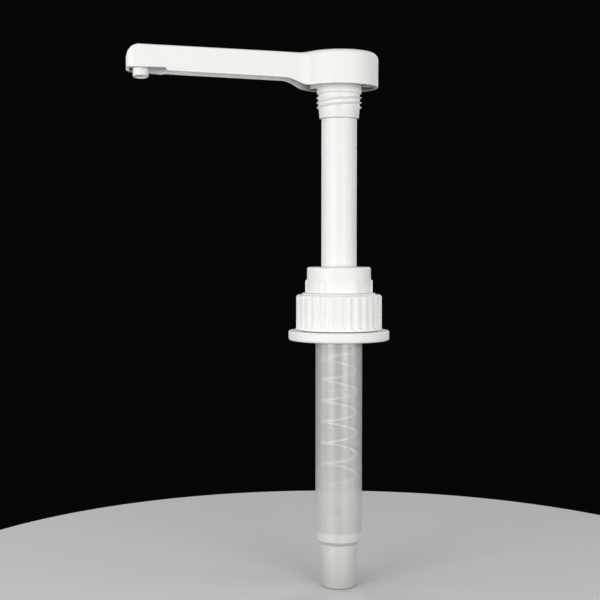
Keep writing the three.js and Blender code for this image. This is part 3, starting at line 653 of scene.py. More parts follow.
lugs = [lug(LUG_PHASE + i * 2 * math.pi / LUGS) for i in range(LUGS)]
ring_threads = [ridge("ring_thread", RING_THREAD_ROOT, RING_THREAD_CREST, THREAD_WIDTH, THREAD_LEAD,
                      THREAD_TURNS, ring_base + RING_FLOOR + THREAD_WIDTH, i * math.pi)
                for i in range(THREAD_STARTS)]
combined(lock_ring, lugs + ring_threads)
dressed(lock_ring, white_plastic, "housing", "white_plastic", "lock_ring")

# %% [markdown]
# The chamber is one long moulding: a collar and a rim that hang it in the neck, the straight bore in which
# the piston runs, a bevel, and a narrower connector with a rounded end for a dip tube. It is turned in one
# go, inside and outside, so that its wall has a real thickness for the light to go through.

# %% The translucent chamber
CHAMBER_RADIUS = 11.33
CONNECTOR_RADIUS = 9.07
SOCKET = 6.72
BEVEL_TOP = -97.3
BEVEL = 2.075
COLLAR_RADIUS = 13.53
COLLAR_FOOT = 6.0
COLLAR_BASE = 9.0
RIM_RADIUS = 17.03
RIM_BASE = 19.0
RIM_TOP = 20.2
LEDGE_HEIGHT = 10.4
INLET_SEAT = 5.2
INLET_BORE = 3.0
SEAT_DEPTH = 2.2
FLOOR_THICKNESS = 5.5
chamber = turned("chamber", rounded([
    (SOCKET, chamber_low[2], 0.4),
    (CONNECTOR_RADIUS, chamber_low[2], 1.5),
    (CONNECTOR_RADIUS, BEVEL_TOP - BEVEL, 0.35),
    (CHAMBER_RADIUS - BEVEL, BEVEL_TOP - BEVEL, 0.3),
    (CHAMBER_RADIUS, BEVEL_TOP, 0.6),
    (CHAMBER_RADIUS, COLLAR_FOOT, 0.8),
    (COLLAR_RADIUS, COLLAR_BASE, 0.5),
    (COLLAR_RADIUS, RIM_BASE, 0.3),
    (RIM_RADIUS, RIM_BASE, 0.2),
    (RIM_RADIUS, RIM_TOP, 0.3),
    (COLLAR_BORE, RIM_TOP, 0.3),
    (COLLAR_BORE, LEDGE_HEIGHT, 0.2),
    (BORE, LEDGE_HEIGHT, 0.2),
    (BORE, CHAMBER_FLOOR, 0.6),
    (INLET_SEAT, CHAMBER_FLOOR, 0.2),
    (INLET_BORE, CHAMBER_FLOOR - SEAT_DEPTH, 0.2),
    (INLET_BORE, CHAMBER_FLOOR - FLOOR_THICKNESS, 0.2),
    (SOCKET, CHAMBER_FLOOR - FLOOR_THICKNESS, 0.5),
], 7))
dressed(chamber, natural_plastic, "housing", "natural_plastic", "cylinder")

# %% [markdown]
# The return spring is a wire swept along a helix, closed up at both ends and open between. Its turns and the
# angle where it starts are set so that the near side of the coil lies on the slanted lines that the
# photograph shows through the wall, about 10 mm apart.

# %% The return spring
WIRE = 0.6
SPRING_RADIUS = 8.73
SPRING_BASE = -94.1
SPRING_TOP = -1.5
SPRING_TURNS = 10.2
SPRING_PHASE = math.radians(-132)
END_TURNS = 0.8
END_GAP = 0.5
STEPS_PER_TURN = 40
WIRE_SIDES = 12


def spring_mesh():
    end_pitch = 2 * WIRE + END_GAP
    rise = SPRING_TOP - SPRING_BASE - 2 * WIRE
    pitch = (rise - 2 * END_TURNS * end_pitch) / (SPRING_TURNS - 2 * END_TURNS)
    count = round(SPRING_TURNS * STEPS_PER_TURN)
    points, faces = [], []
    for i in range(count + 1):
        turns = i / STEPS_PER_TURN
        closed = min(turns, END_TURNS) + max(0.0, turns - SPRING_TURNS + END_TURNS)
        height = SPRING_BASE + WIRE + closed * end_pitch + (turns - closed) * pitch
        a = turns * 2 * math.pi + SPRING_PHASE
        for k in range(WIRE_SIDES):
            b = k * 2 * math.pi / WIRE_SIDES
            r = SPRING_RADIUS + WIRE * math.cos(b)
            points.append((r * math.cos(a), r * math.sin(a), height + WIRE * math.sin(b)))
    for i in range(count):
        for k in range(WIRE_SIDES):
            a, b = i * WIRE_SIDES + k, i * WIRE_SIDES + (k + 1) % WIRE_SIDES
            faces.append([a, b, b + WIRE_SIDES, a + WIRE_SIDES])
    faces += [list(range(WIRE_SIDES))[::-1], [count * WIRE_SIDES + k for k in range(WIRE_SIDES)]]
    return mesh_object("return_spring_wire", points, faces)


spring = dressed(spring_mesh(), spring_steel, "housing", "spring_steel", "return_spring")
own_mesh(spring)

# %% [markdown]
# The stem is the smooth hollow rod that the hand drives down. It is drawn rather than textured, so it has
# the highest gloss of the white pieces. Two crossed bars inside it, low down, stop the outlet ball: they
# stand a little above the ball's highest place, so that the ball never touches them at a joint limit.

# %% The stem
STEM_RADIUS = 8.53
STEM_WALL = 1.5
NECK_OF_STEM = 7.705
SPIGOT_RADIUS = 7.33
VALVE_BORE = 6.2
PISTON_BASE = 1.8
PISTON_TOP = 10.0
SEAT_GAP = 0.3
WIDENING_TOP = 24.0
WIDENING_BASE = 22.0
BALL_STOP = 18.2
BALL_STOP_WIDTH = 1.4
BALL_STOP_HEIGHT = 2.0
BALL_STOP_SINK = 0.6
stem_shoulder = nozzle_low[2] - SEAT_GAP
stem_top = stem_high[2]
stem = turned("stem_rod", rounded([
    (VALVE_BORE, PISTON_BASE, 0.15),
    (SPIGOT_RADIUS, PISTON_BASE, 0.2),
    (SPIGOT_RADIUS, PISTON_TOP + SEAT_GAP, 0.1),
    (STEM_RADIUS, PISTON_TOP + SEAT_GAP, 0.3),
    (STEM_RADIUS, stem_shoulder, 0.4),
    (NECK_OF_STEM, stem_shoulder, 0.1),
    (NECK_OF_STEM, stem_top, 0.3),
    (NECK_OF_STEM - STEM_WALL, stem_top, 0.2),
    (NECK_OF_STEM - STEM_WALL, stem_shoulder - STEM_WALL, 0.2),
    (STEM_RADIUS - STEM_WALL, stem_shoulder - 2 * STEM_WALL, 0.3),
    (STEM_RADIUS - STEM_WALL, WIDENING_TOP, 0.3),
    (VALVE_BORE, WIDENING_BASE, 0.3),
], 6))
stop_size = (2 * VALVE_BORE + BALL_STOP_SINK, BALL_STOP_WIDTH, BALL_STOP_HEIGHT)
stop_centre = (0, 0, BALL_STOP + BALL_STOP_HEIGHT / 2)
combined(stem, [bar("ball_stop", stop_size, stop_centre, i * math.pi / 2, 0.2) for i in range(2)])
dressed(stem, stem_plastic, "plunger", "stem_plastic", "stem")

# %% [markdown]
# Soft rings and lips keep the liquid and the air where they belong: a gasket under the rim, a seal round the
# stem, and the piston, a cup with a lip at each end. They hardly show, but they are lathe work too, and a
# piece that is missing would be noticed as soon as the pump is taken apart.

# %% The seals and the piston
GASKET_RADIUS = 16.83
GASKET_BASE = 17.9
GASKET_TOP = 18.7
STEM_SEAL_BASE = 10.7
STEM_SEAL_TOP = 11.9
neck_gasket = turned("neck_gasket_ring", rounded([
    (NECK_BORE, GASKET_BASE, 0.2), (GASKET_RADIUS, GASKET_BASE, 0.2),
    (GASKET_RADIUS, GASKET_TOP, 0.2), (NECK_BORE, GASKET_TOP, 0.2),
]))
dressed(neck_gasket, soft_plastic, "housing", "soft_plastic", "neck_gasket")

stem_seal = turned("stem_seal_ring", rounded([
    (GUIDE_RADIUS, STEM_SEAL_BASE, 0.3), (BARREL_RADIUS, STEM_SEAL_BASE, 0.2),
    (BARREL_RADIUS, STEM_SEAL_TOP, 0.2), (GUIDE_RADIUS, STEM_SEAL_TOP, 0.3),
]))
dressed(stem_seal, soft_plastic, "housing", "soft_plastic", "stem_seal")

PISTON_BORE = 7.63
SLEEVE_RADIUS = 8.18
PISTON_WAIST = 8.73
LIP_INNER = 9.18
LIP_OUTER = 9.73
LIP_DEPTH = 2.0
LIP_EDGE = 0.55
piston = turned("piston_cup", rounded([
    (PISTON_BORE, PISTON_BASE, 0.1),
    (SLEEVE_RADIUS, PISTON_BASE, 0.1),
    (SLEEVE_RADIUS, PISTON_BASE + LIP_DEPTH, 0.2),
    (LIP_INNER, PISTON_BASE, 0.1),
    (LIP_OUTER, PISTON_BASE, 0.15),
    (LIP_OUTER, PISTON_BASE + LIP_EDGE, 0.2),
    (PISTON_WAIST, PISTON_BASE + LIP_EDGE + LIP_DEPTH, 0.4),
    (PISTON_WAIST, PISTON_TOP - LIP_EDGE - LIP_DEPTH, 0.4),
    (LIP_OUTER, PISTON_TOP - LIP_EDGE, 0.2),
    (LIP_OUTER, PISTON_TOP, 0.15),
    (LIP_INNER, PISTON_TOP, 0.1),
    (SLEEVE_RADIUS, PISTON_TOP - LIP_DEPTH, 0.2),
    (SLEEVE_RADIUS, PISTON_TOP, 0.1),
    (PISTON_BORE, PISTON_TOP, 0.1),
], 4))
dressed(piston, soft_plastic, "plunger", "soft_plastic", "piston")

# %% [markdown]
# The retainer is pressed into the stem from below. It holds the piston, and its bevelled top end is the
# outlet ball's seat. Below it lies a loose ring on which the spring pushes, so the head can swivel.

# %% The retainer and the spring seat
RETAINER_BASE = 0.3
RETAINER_RADIUS = 9.03
RETAINER_FLOOR = 1.5
RETAINER_TUBE = 5.9
RETAINER_TOP = 8.2
OUTLET_SEAT = 5.0
OUTLET_SEAT_BORE = 3.196
OUTLET_SEAT_FOOT = 6.396
retainer = turned("piston_retainer_tube", rounded([
    (OUTLET_SEAT_BORE, RETAINER_BASE, 0.2),
    (RETAINER_RADIUS, RETAINER_BASE, 0.3),
    (RETAINER_RADIUS, RETAINER_FLOOR, 0.2),
    (RETAINER_TUBE, RETAINER_FLOOR, 0.2),
    (RETAINER_TUBE, RETAINER_TOP, 0.2),
    (OUTLET_SEAT, RETAINER_TOP, 0.1),
    (OUTLET_SEAT_BORE, OUTLET_SEAT_FOOT, 0.2),
], 4))
dressed(retainer, inner_plastic, "plunger", "inner_plastic", "piston_retainer")

SOLID_SPRING_SIDES = 8
SEAT_RADIUS = 9.43
SEAT_THICKNESS = 1.2
SEAT_LIP_WALL = 0.8
spring_seat_low = box_mm("spring_seat")[0]
lip_outer = SPRING_RADIUS * math.cos(math.pi / SOLID_SPRING_SIDES) - WIRE - SEAT_GAP
lip_inner = lip_outer - SEAT_LIP_WALL
spring_seat = turned("spring_seat_ring", rounded([
    (lip_inner, spring_seat_low[2], 0.2),
    (lip_outer, spring_seat_low[2], 0.3),
    (lip_outer, -SEAT_THICKNESS, 0.2),
    (SEAT_RADIUS, -SEAT_THICKNESS, 0.2),
    (SEAT_RADIUS, 0.0, 0.3),
    (lip_inner, 0.0, 0.2),
], 4))
dressed(spring_seat, inner_plastic, "spring_seat", "inner_plastic", "spring_seat")

# %% [markdown]
# A cage over the inlet keeps its ball from drifting off while the liquid flows round it through four slots.
# The slots are cut with soft-edged blocks, because a lathe can't make them. The balls are small spheres, made
# on the same lathe from half a circle.

# %% The ball cage and the two balls
CAGE_BORE = 5.66
CAGE_RADIUS = 6.86
CAGE_FLANGE = 9.63
CAGE_WALL = 1.2
CAGE_VENT = 3.2
CAGE_SLOTS = 4
SLOT_WIDTH = 3.2
SLOT_DEPTH = 4
BALL_SIDES = 48
BALL_ROWS = 25
cage_low, cage_high = box_mm("ball_cage")
cage = turned("ball_cage_body", rounded([
    (CAGE_BORE, cage_low[2], 0.2),
    (CAGE_FLANGE, cage_low[2], 0.2),
    (CAGE_FLANGE, cage_low[2] + CAGE_WALL, 0.2),
    (CAGE_RADIUS, cage_low[2] + CAGE_WALL, 0.3),
    (CAGE_RADIUS, cage_high[2], 0.8),
    (CAGE_VENT, cage_high[2], 0.3),
    (CAGE_VENT, cage_high[2] - CAGE_WALL, 0.2),
    (CAGE_BORE, cage_high[2] - CAGE_WALL, 0.4),
], 4))
slot_height = cage_high[2] - 2 * CAGE_WALL - (cage_low[2] + 2 * CAGE_WALL)
slot_centre = (CAGE_RADIUS, 0, (cage_low[2] + cage_high[2]) / 2)
slots = [bar("slot", (SLOT_DEPTH, SLOT_WIDTH, slot_height), slot_centre, i * 2 * math.pi / CAGE_SLOTS, 0.5)
         for i in range(CAGE_SLOTS)]
combined(cage, slots, "DIFFERENCE")
dressed(cage, inner_plastic, "housing", "inner_plastic", "ball_cage")


def ball(name, node, body):
    low, high = box_mm(node)
    radius, middle = (high[2] - low[2]) / 2, (high[2] + low[2]) / 2
    arc = [(radius * math.sin(a), middle - radius * math.cos(a)) for a in np.linspace(0, math.pi, BALL_ROWS)]
    arc[0], arc[-1] = (0.0, arc[0][1]), (0.0, arc[-1][1])
    return dressed(turned(name, arc, BALL_SIDES), ball_steel, body, "ball_steel", node)


ball("inlet_valve_ball", "inlet_ball", "inlet_ball")
ball("outlet_valve_ball", "outlet_ball", "outlet_ball")

# %% [markdown]
# The liquid channel is moulded with a long pin, which leaves its far end open. A small disc plugs it. It is
# turned upright like all the rest and then laid down, with its axis along the spout.

# %% The channel's plug
PLUG_LENGTH = 2.2
ROUND_SIDES = 64


def laid_along_spout(obj, far, height):
    """Lays a lathe piece down, so that its axis runs along X and its base is at far towards -X."""
    for vertex in obj.data.vertices:
        x, y, z = vertex.co
        vertex.co = (z - far * MM, y, x + height * MM)


plug_low, plug_high = box_mm("channel_plug")
plug_radius = (plug_high[1] - plug_low[1]) / 2
channel_height = (plug_high[2] + plug_low[2]) / 2
plug = turned("channel_plug_disc", rounded([
    (0, 0, 0), (plug_radius, 0, 0.3), (plug_radius, PLUG_LENGTH, 0.3), (0, PLUG_LENGTH, 0),
], 4), ROUND_SIDES)
laid_along_spout(plug, -plug_low[0], channel_height)
dressed(plug, inner_plastic, "plunger", "inner_plastic", "channel_plug")

# %% [markdown]
# Below the head is the nozzle body. Its boss carries a double-start thread with sharp ridges, which screws
# into the lock ring. From the boss the liquid channel runs out along the spout to a block near the end.
# It is turned first, then the ridges, the channel and the block are joined to it and the bores are cut.

# %% The nozzle body
BOSS_GUIDE = 9.475
BOSS_ROOT = 9.905
BOSS_CREST = 10.855
BOSS_TOP = 10.725
CROWN_RADIUS = 8.705
CHANNEL_RADIUS = 3.6
CHANNEL_BORE = 2.3
BOSS_PHASE = math.radians(-37)
BOSS_GUIDE_HEIGHT = 5.4
BOSS_THREAD_HEIGHT = 6.1
BOSS_THREAD_RISE = 0.2
SHOULDER_BEVEL = 0.45
BOSS_INNER_RISE = 5.5
NOTCH = 83.7
boss_base = nozzle_low[2]
thread_base = boss_base + BOSS_GUIDE_HEIGHT
shoulder = thread_base + BOSS_THREAD_HEIGHT
head_base = head_low[2]
crown_top = nozzle_high[2]
block_end = -nozzle_low[0]

nozzle = turned("nozzle_body_moulding", rounded([
    (0, boss_base, 0),
    (BOSS_GUIDE, boss_base, 0.3),
    (BOSS_ROOT, thread_base, 0.3),
    (BOSS_ROOT, shoulder, 0.3),
    (BOSS_TOP, shoulder + SHOULDER_BEVEL, 0.35),
    (BOSS_TOP, head_base + BOSS_INNER_RISE, 0.4),
    (CROWN_RADIUS, head_base + BOSS_INNER_RISE, 0.4),
    (CROWN_RADIUS, crown_top, 0.3),
    (0, crown_top, 0),
], 6))
boss_threads = [ridge("boss_thread", BOSS_ROOT, BOSS_CREST, THREAD_WIDTH, THREAD_LEAD, THREAD_TURNS,
                      thread_base - THREAD_WIDTH / 2 + BOSS_THREAD_RISE, BOSS_PHASE + i * math.pi)
                for i in range(THREAD_STARTS)]


def along_spout(name, radius, near, far, sides=ROUND_SIDES):
    pipe = turned(name, [(0, near), (radius, near), (radius, far), (0, far)], sides)
    for vertex in pipe.data.vertices:
        x, y, z = vertex.co
        vertex.co = (-z, y, x + channel_height * MM)
    face_outward(pipe)
    return pipe


def upright(name, radius, low, high, reach=0.0, sides=ROUND_SIDES):
    pipe = turned(name, [(0, low), (radius, low), (radius, high), (0, high)], sides)
    for vertex in pipe.data.vertices:
        vertex.co.x -= reach * MM
    face_outward(pipe)
    return pipe


STEM_SOCKET = 8.005
BOSS_CHAMBER = 6.105
CROWN_WALL = 2.1
BLOCK_WIDTH = 9.4
BLOCK_RISE = 5.1
CHANNEL_START = 6
CHANNEL_SINK = 4
CUT_OVERRUN = 1
FINE_SIDES = 96
outlet_reach = -(outlet_low[0] + outlet_high[0]) / 2
socket_radius = (outlet_high[0] - outlet_low[0]) / 2 + SEAT_GAP
block_base = outlet_low[2] + BLOCK_RISE
block = bar("end_block", (block_end - NOTCH, BLOCK_WIDTH, crown_top - block_base),
            (-(block_end + NOTCH) / 2, 0, (crown_top + block_base) / 2), 0.0, 0.5)
channel = along_spout("channel", CHANNEL_RADIUS, CHANNEL_START, NOTCH + CHANNEL_SINK)
combined(nozzle, boss_threads + [channel, block])
combined(nozzle, [
    upright("stem_socket", STEM_SOCKET, boss_base - CUT_OVERRUN, stem_top + SEAT_GAP, 0, FINE_SIDES),
    upright("chamber_above", BOSS_CHAMBER, stem_top, crown_top - CROWN_WALL),
    along_spout("channel_bore", CHANNEL_BORE, 0, block_end + CUT_OVERRUN),
    upright("outlet_socket", socket_radius, block_base - CUT_OVERRUN, outlet_high[2] + SEAT_GAP,
            outlet_reach),
    upright("outlet_drop", CHANNEL_BORE, outlet_high[2], channel_height, outlet_reach),
], "DIFFERENCE")
dressed(nozzle, stem_plastic, "plunger", "stem_plastic", "nozzle_body")

# %% [markdown]
# The short tube at the spout's end points down. Its mouth isn't quite level in the photograph, so the
# vertices of its lower end are moved up and down by their place across the spout. The tube is also a little
# narrower and shorter than its solid and stands a little nearer the tip, as the photograph shows it.

# %% The outlet tube
OUTLET_RADIUS = 3.65
OUTLET_WALL = 0.75
OUTLET_RISE = 0.85
OUTLET_SHIFT = 0.2
MOUTH_SLANT = math.radians(7)
MOUTH_HEIGHT = 0.5
outlet_base = outlet_low[2] + OUTLET_RISE
outlet = turned("outlet_tube_end", rounded([
    (OUTLET_RADIUS - OUTLET_WALL, outlet_base, 0.1),
    (OUTLET_RADIUS, outlet_base, 0.15),
    (OUTLET_RADIUS, outlet_high[2], 0.2),
    (OUTLET_RADIUS - OUTLET_WALL, outlet_high[2], 0.2),
], 5), FINE_SIDES)
for vertex in outlet.data.vertices:
    if vertex.co.z < (outlet_base + MOUTH_HEIGHT) * MM:
        vertex.co.z -= vertex.co.y * math.tan(MOUTH_SLANT)
    vertex.co.x -= (outlet_reach + OUTLET_SHIFT) * MM
dressed(outlet, stem_plastic, "plunger", "stem_plastic", "outlet_tube")

# %% [markdown]
# The head and its spout are one shell, open below. Seen from above its outline is a disc with a bar, joined
# by a fillet on each side, and a rounded nose. The shell is built as rings round that outline: up the
# outside, over the top edge, then down the inside one wall thickness further in. The top edge is wide round
# the head and at the nose, and narrow along the spout, so each point carries its own edge radius and foot.

# %% The outline of the head and spout
HEAD_RADIUS = 18.725
HALF_SPOUT = 6.5
NOSE_CORNER = 4.0
NOSE_RADIUS = 6.0
ROOT_FILLET = 13.0
SHELL_WALL = 1.5
NOSE_STEPS = 25
HEAD_STEPS = 72
spout_reach = -head_low[0]
root_x = math.sqrt((HEAD_RADIUS + ROOT_FILLET) ** 2 - (HALF_SPOUT + ROOT_FILLET) ** 2)
root_y = HALF_SPOUT + ROOT_FILLET
root_angle = math.atan2(root_y, root_x)


def spout_stations():
    """Places along the spout, close together where its lower edge steps: at the notch and the root."""
    return np.concatenate([
        np.linspace(-97.2, -95.4, 7),
        np.linspace(-94.5, -86.0, 7),
        np.arange(-85.2, -81.9, 0.15),
        np.linspace(-80.5, -28.5, 18),
        np.linspace(-27.6, -25.4, 5),
    ])


def outline_half():
    """Points from the middle of the nose to the back of the head, on the +Y side: x, y and outward normal."""
    rows = []
    for y in np.linspace(0, HALF_SPOUT - NOSE_CORNER, 3)[:-1]:
        rows.append((-spout_reach, y, -1.0, 0.0))
    for a in np.linspace(0, math.pi / 2, NOSE_STEPS):
        nx, ny = -math.cos(a), math.sin(a)
        rows.append((-spout_reach + NOSE_CORNER + NOSE_CORNER * nx,
                     HALF_SPOUT - NOSE_CORNER + NOSE_CORNER * ny, nx, ny))
    rows += [(x, HALF_SPOUT, 0.0, 1.0) for x in spout_stations()]
    for a in np.linspace(-math.pi / 2, -root_angle, NOSE_STEPS):
        rows.append((-root_x + ROOT_FILLET * math.cos(a), root_y + ROOT_FILLET * math.sin(a),
                     -math.cos(a), -math.sin(a)))
    for a in np.linspace(math.pi - root_angle, 0, HEAD_STEPS)[1:]:
        rows.append((HEAD_RADIUS * math.cos(a), HEAD_RADIUS * math.sin(a), math.cos(a), math.sin(a)))
    return np.array(rows)


half = outline_half()
mirror = half[1:-1][::-1] * [1, -1, 1, -1]
outline = np.vstack([half, mirror])
print("points round the head and spout:", len(outline))

# %% [markdown]
# The lower edge is where this head has its character. It is level round the head, climbs in a swan's neck
# curve to the spout, and then follows a long slope to a notch near the tip. The curve is a cubic with both
# handles level, and the shares of their lengths were fitted to the photograph. Only the near side has the
# notch: on the far side a small lip hangs a little lower just past it.

# %% The lower edge
FOOT_RISE = 3.7
TIP_RISE = 5.9
NOTCH_RISE = 6.85
NOTCH_BLEND = (NOTCH - 1.2, NOTCH + 0.1)
NOTCH_SIDE = 0.6
LIP_DROP = 0.35
LIP_BLEND = (NOTCH + 0.2, NOTCH + 0.5)
LIP_LENGTH = 14
CURVE_START = HEAD_RADIUS - 2.5
CURVE_LENGTH = 12.3
CURVE_END = CURVE_START + CURVE_LENGTH
FIRST_HANDLE_SHARE = 0.30
SECOND_HANDLE_SHARE = 0.49

t = np.linspace(0, 1, 60)
swan_x = (CURVE_START + 3 * (1 - t) ** 2 * t * FIRST_HANDLE_SHARE * CURVE_LENGTH
          + 3 * (1 - t) * t ** 2 * SECOND_HANDLE_SHARE * CURVE_LENGTH + t ** 3 * CURVE_LENGTH)
swan_rise = FOOT_RISE * (3 * (1 - t) * t ** 2 + t ** 3)


def foot_height(x, y):
    """The height of the lower edge at a place seen from above."""
    out = -x
    if out <= CURVE_END:
        return head_base + float(np.interp(out, swan_x, swan_rise, left=0.0))
    slope = head_base + FOOT_RISE + (TIP_RISE - FOOT_RISE) * (out - CURVE_END) / (spout_reach - CURVE_END)
    if y < NOTCH_SIDE:
        return slope + (head_base + NOTCH_RISE - slope) * float(smooth(out, *NOTCH_BLEND))
    return slope - LIP_DROP * float(smooth(out, *LIP_BLEND)) * max(0.0, 1 - (out - NOTCH) / LIP_LENGTH)


print("rise of the spout's root over the head's foot:", FOOT_RISE, "mm, and of the notch:", NOTCH_RISE, "mm")

# %% [markdown]
# The top is level over the head. Along the spout it is a straight line that climbs a little, and it ends in
# the quarter circle of the nose. The top edge is wide round the head and narrow along the spout.

# %% The top line and the edges
HEAD_HEIGHT = 16.25
TOP_DROP = 1.15
TOP_LIFT = 1.45
TOP_BLEND = (12.5, 21.0)
EDGE_BLEND = (14.5, 27.0)
SPOUT_EDGE = 1.2
HEAD_EDGE_MORE = 2.1
LIP_RADIUS = 0.3
NOSE_LIP_MORE = 0.6
head_top = head_low[2] + HEAD_HEIGHT


def top_height(x):
    """The height of the top at a place along the spout."""
    line = head_top - TOP_DROP + (TOP_DROP + TOP_LIFT) * -x / spout_reach
    over = np.clip(-x - (spout_reach - NOSE_RADIUS), 0, NOSE_RADIUS)
    return (head_top + (line - head_top) * smooth(-x, *TOP_BLEND)
            - NOSE_RADIUS + np.sqrt(NOSE_RADIUS ** 2 - over ** 2))


nose = np.where(outline[:, 0] < -spout_reach + NOSE_CORNER + 0.01, np.abs(outline[:, 2]), 0.0)
nose = nose * nose * (3 - 2 * nose)
over_head = 1 - smooth(-outline[:, 0], *EDGE_BLEND)
edge_in = SPOUT_EDGE + HEAD_EDGE_MORE * over_head
edge_down = edge_in * (1 - nose)
lips = LIP_RADIUS + NOSE_LIP_MORE * nose


def inset_points(inset):
    return outline[:, 0] - outline[:, 2] * inset, outline[:, 1] - outline[:, 3] * inset


def feet(inset):
    return np.array([foot_height(x, y) for x, y in zip(*inset_points(inset))])


wall_tops = top_height(outline[:, 0]) - edge_down
print("feet in mm:", feet(0.0).min().round(2), "to", feet(0.0).max().round(2))
print("wall tops in mm:", wall_tops.min().round(2), "to", wall_tops.max().round(2))

# %% [markdown]
# Now the rings are stacked: the rounded lip at the foot, the outer wall, the top edge, and then the same
# again inside. Two neighbouring rings are bridged with four-sided faces. The top is closed by strips across
# the spout, which keeps its faces even, where one big face would shade badly.

# %% The head shell
TOP_WALL = 1.8
CEILING_EDGE = 0.8
LIP_STEPS = 5
EDGE_ARC_STEPS = 11
INNER_LIP_STEPS = 4
OUTER_SHARES = (0.25, 0.5, 0.75)
INNER_SHARES = (0.33, 0.66)
STRIP_START = 3
ceiling = head_top - TOP_WALL


def ring(inset, height):
    x, y = inset_points(inset)
    return np.stack([x, y, np.broadcast_to(height, len(outline))], 1)


outer_feet, inner_feet = feet(0.0), feet(SHELL_WALL)
rings = [ring(lips * (1 - math.sin(a)), outer_feet + lips * (1 - math.cos(a)))
         for a in np.linspace(0, math.pi / 2, LIP_STEPS)]
for share in OUTER_SHARES:
    rings.append(ring(0, outer_feet + lips + (wall_tops - outer_feet - lips) * share))
for a in np.linspace(0, math.pi / 2, EDGE_ARC_STEPS):
    inset = edge_in * (1 - math.cos(a))
    rings.append(ring(inset, top_height(inset_points(inset)[0]) - edge_down * (1 - math.sin(a))))
outer_count = len(rings)
rings += [ring(SHELL_WALL - LIP_RADIUS * (1 - math.sin(a)), inner_feet + LIP_RADIUS * (1 - math.cos(a)))
          for a in np.linspace(0, math.pi / 2, INNER_LIP_STEPS)]
for share in INNER_SHARES:
    rise = (ceiling - CEILING_EDGE - inner_feet - LIP_RADIUS) * share
    rings.append(ring(SHELL_WALL, inner_feet + LIP_RADIUS + rise))
rings += [ring(SHELL_WALL + CEILING_EDGE * (1 - math.cos(a)), ceiling - CEILING_EDGE * (1 - math.sin(a)))
          for a in np.linspace(0, math.pi / 2, LIP_STEPS)]
around = len(outline)
faces = []


def bridge(low_ring, high_ring):
    for k in range(around):
        nxt = (k + 1) % around
        faces.append([low_ring * around + k, low_ring * around + nxt,
                      high_ring * around + nxt, high_ring * around + k])


for r in range(outer_count - 1):
    bridge(r, r + 1)
for r in range(outer_count, len(rings) - 1):
    bridge(r, r + 1)
bridge(0, outer_count)

# The top is closed by strips across the spout, from each point to its mirror image on the other side.
top_ring = (outer_count - 1) * around
last = len(half) - 1
faces.append([top_ring + k for k in range(STRIP_START + 1)]
             + [top_ring + around - k for k in range(STRIP_START, 0, -1)])
for k in range(STRIP_START, last):
    strip = [k, k + 1, (around - k - 1) % around, around - k]
    faces.append([top_ring + v for v in dict.fromkeys(strip)])
faces.append([(len(rings) - 1) * around + k for k in range(around)])
head = mesh_object("head_and_spout", np.vstack(rings), faces)
face_outward(head)

# %% [markdown]
# Looking up under the head one sees thin radial ribs between the boss and the wall. They keep the hollow
# shell stiff. Each is a plate with soft edges that grows out of the wall and the ceiling. Eight of them
# would stand at even angles, but the one towards the spout is left out for the channel.

# %% The ribs under the head
RIB_PLACES = 8
RIB_THICKNESS = 1.0
RIB_RISE = 0.8
RIB_SINK = 0.9
rib_inner = BOSS_TOP + SEAT_GAP
rib_outer = HEAD_RADIUS - SHELL_WALL / 2
rib_base = head_base + RIB_RISE
rib_top = head_top - RIB_SINK
rib_size = (rib_outer - rib_inner, RIB_THICKNESS, rib_top - rib_base)
rib_centre = ((rib_outer + rib_inner) / 2, 0, (rib_top + rib_base) / 2)
ribs = [bar("rib", rib_size, rib_centre, math.pi + i * 2 * math.pi / RIB_PLACES, 0.2)
        for i in range(1, RIB_PLACES)]
combined(head, ribs)
dressed(head, head_plastic, "plunger", "white_plastic", "head_shell")

# %% [markdown]
# The pump stands on a plain pale table in front of darkness, because white plastic shows its outline and
# its soft shading best that way. The table and the darkness are stage, not part of the object.
#
# A pale table throws much light up under the head, which would wipe out its soft underside, and pure
# darkness all round would leave the sides black. So both have two tones, which the Light Path node tells
# apart: one that the camera, a reflection or clear plastic shows, and one for the light that they give off.

# %% The table and the darkness
TABLE_SEEN = (0.74, 0.74, 0.74)
TABLE_OTHER = (0.2, 0.2, 0.2)
DARK_SEEN = (0.002, 0.002, 0.002)
DARK_OTHER = (0.06, 0.06, 0.061)


def shown(nodes, links, seen_tone, other_tone):
    """One tone where the camera, a reflection or clear plastic shows a surface, another everywhere else."""
    path = nodes.new("ShaderNodeLightPath")
    total = path.outputs["Is Camera Ray"]
    for kind in ("Is Glossy Ray", "Is Transmission Ray"):
        either = nodes.new("ShaderNodeMath")
        either.operation = "MAXIMUM"
        links.new(total, either.inputs[0])
        links.new(path.outputs[kind], either.inputs[1])
        total = either.outputs["Value"]
    tone = nodes.new("ShaderNodeMix")
    tone.data_type = "RGBA"
    tone.inputs["A"].default_value = (*other_tone, 1)
    tone.inputs["B"].default_value = (*seen_tone, 1)
    links.new(total, tone.inputs["Factor"])
    return tone.outputs["Result"]


TABLE_RADIUS = 230
TABLE_THICKNESS = 30
TABLE_EDGE = 6
TABLE_SIDES = 192
table_top = chamber_low[2]
table_foot = table_top - TABLE_THICKNESS
table = turned("table", rounded([
    (0, table_foot, 0),
    (TABLE_RADIUS, table_foot, TABLE_EDGE),
    (TABLE_RADIUS, table_top, TABLE_EDGE),
    (0, table_top, 0),
], 6), TABLE_SIDES)
face_outward(table)
for face in table.data.polygons:
    face.use_smooth = True
table.data.set_sharp_from_angle(angle=CRISP_ANGLE)
table_paint = bpy.data.materials.new("table_paint")
table_paint.use_nodes = True
nodes, links = table_paint.node_tree.nodes, table_paint.node_tree.links
paint = nodes["Principled BSDF"]
paint.inputs["Roughness"].default_value = 0.8
links.new(shown(nodes, links, TABLE_SEEN, TABLE_OTHER), paint.inputs["Base Color"])
table.data.materials.append(table_paint)

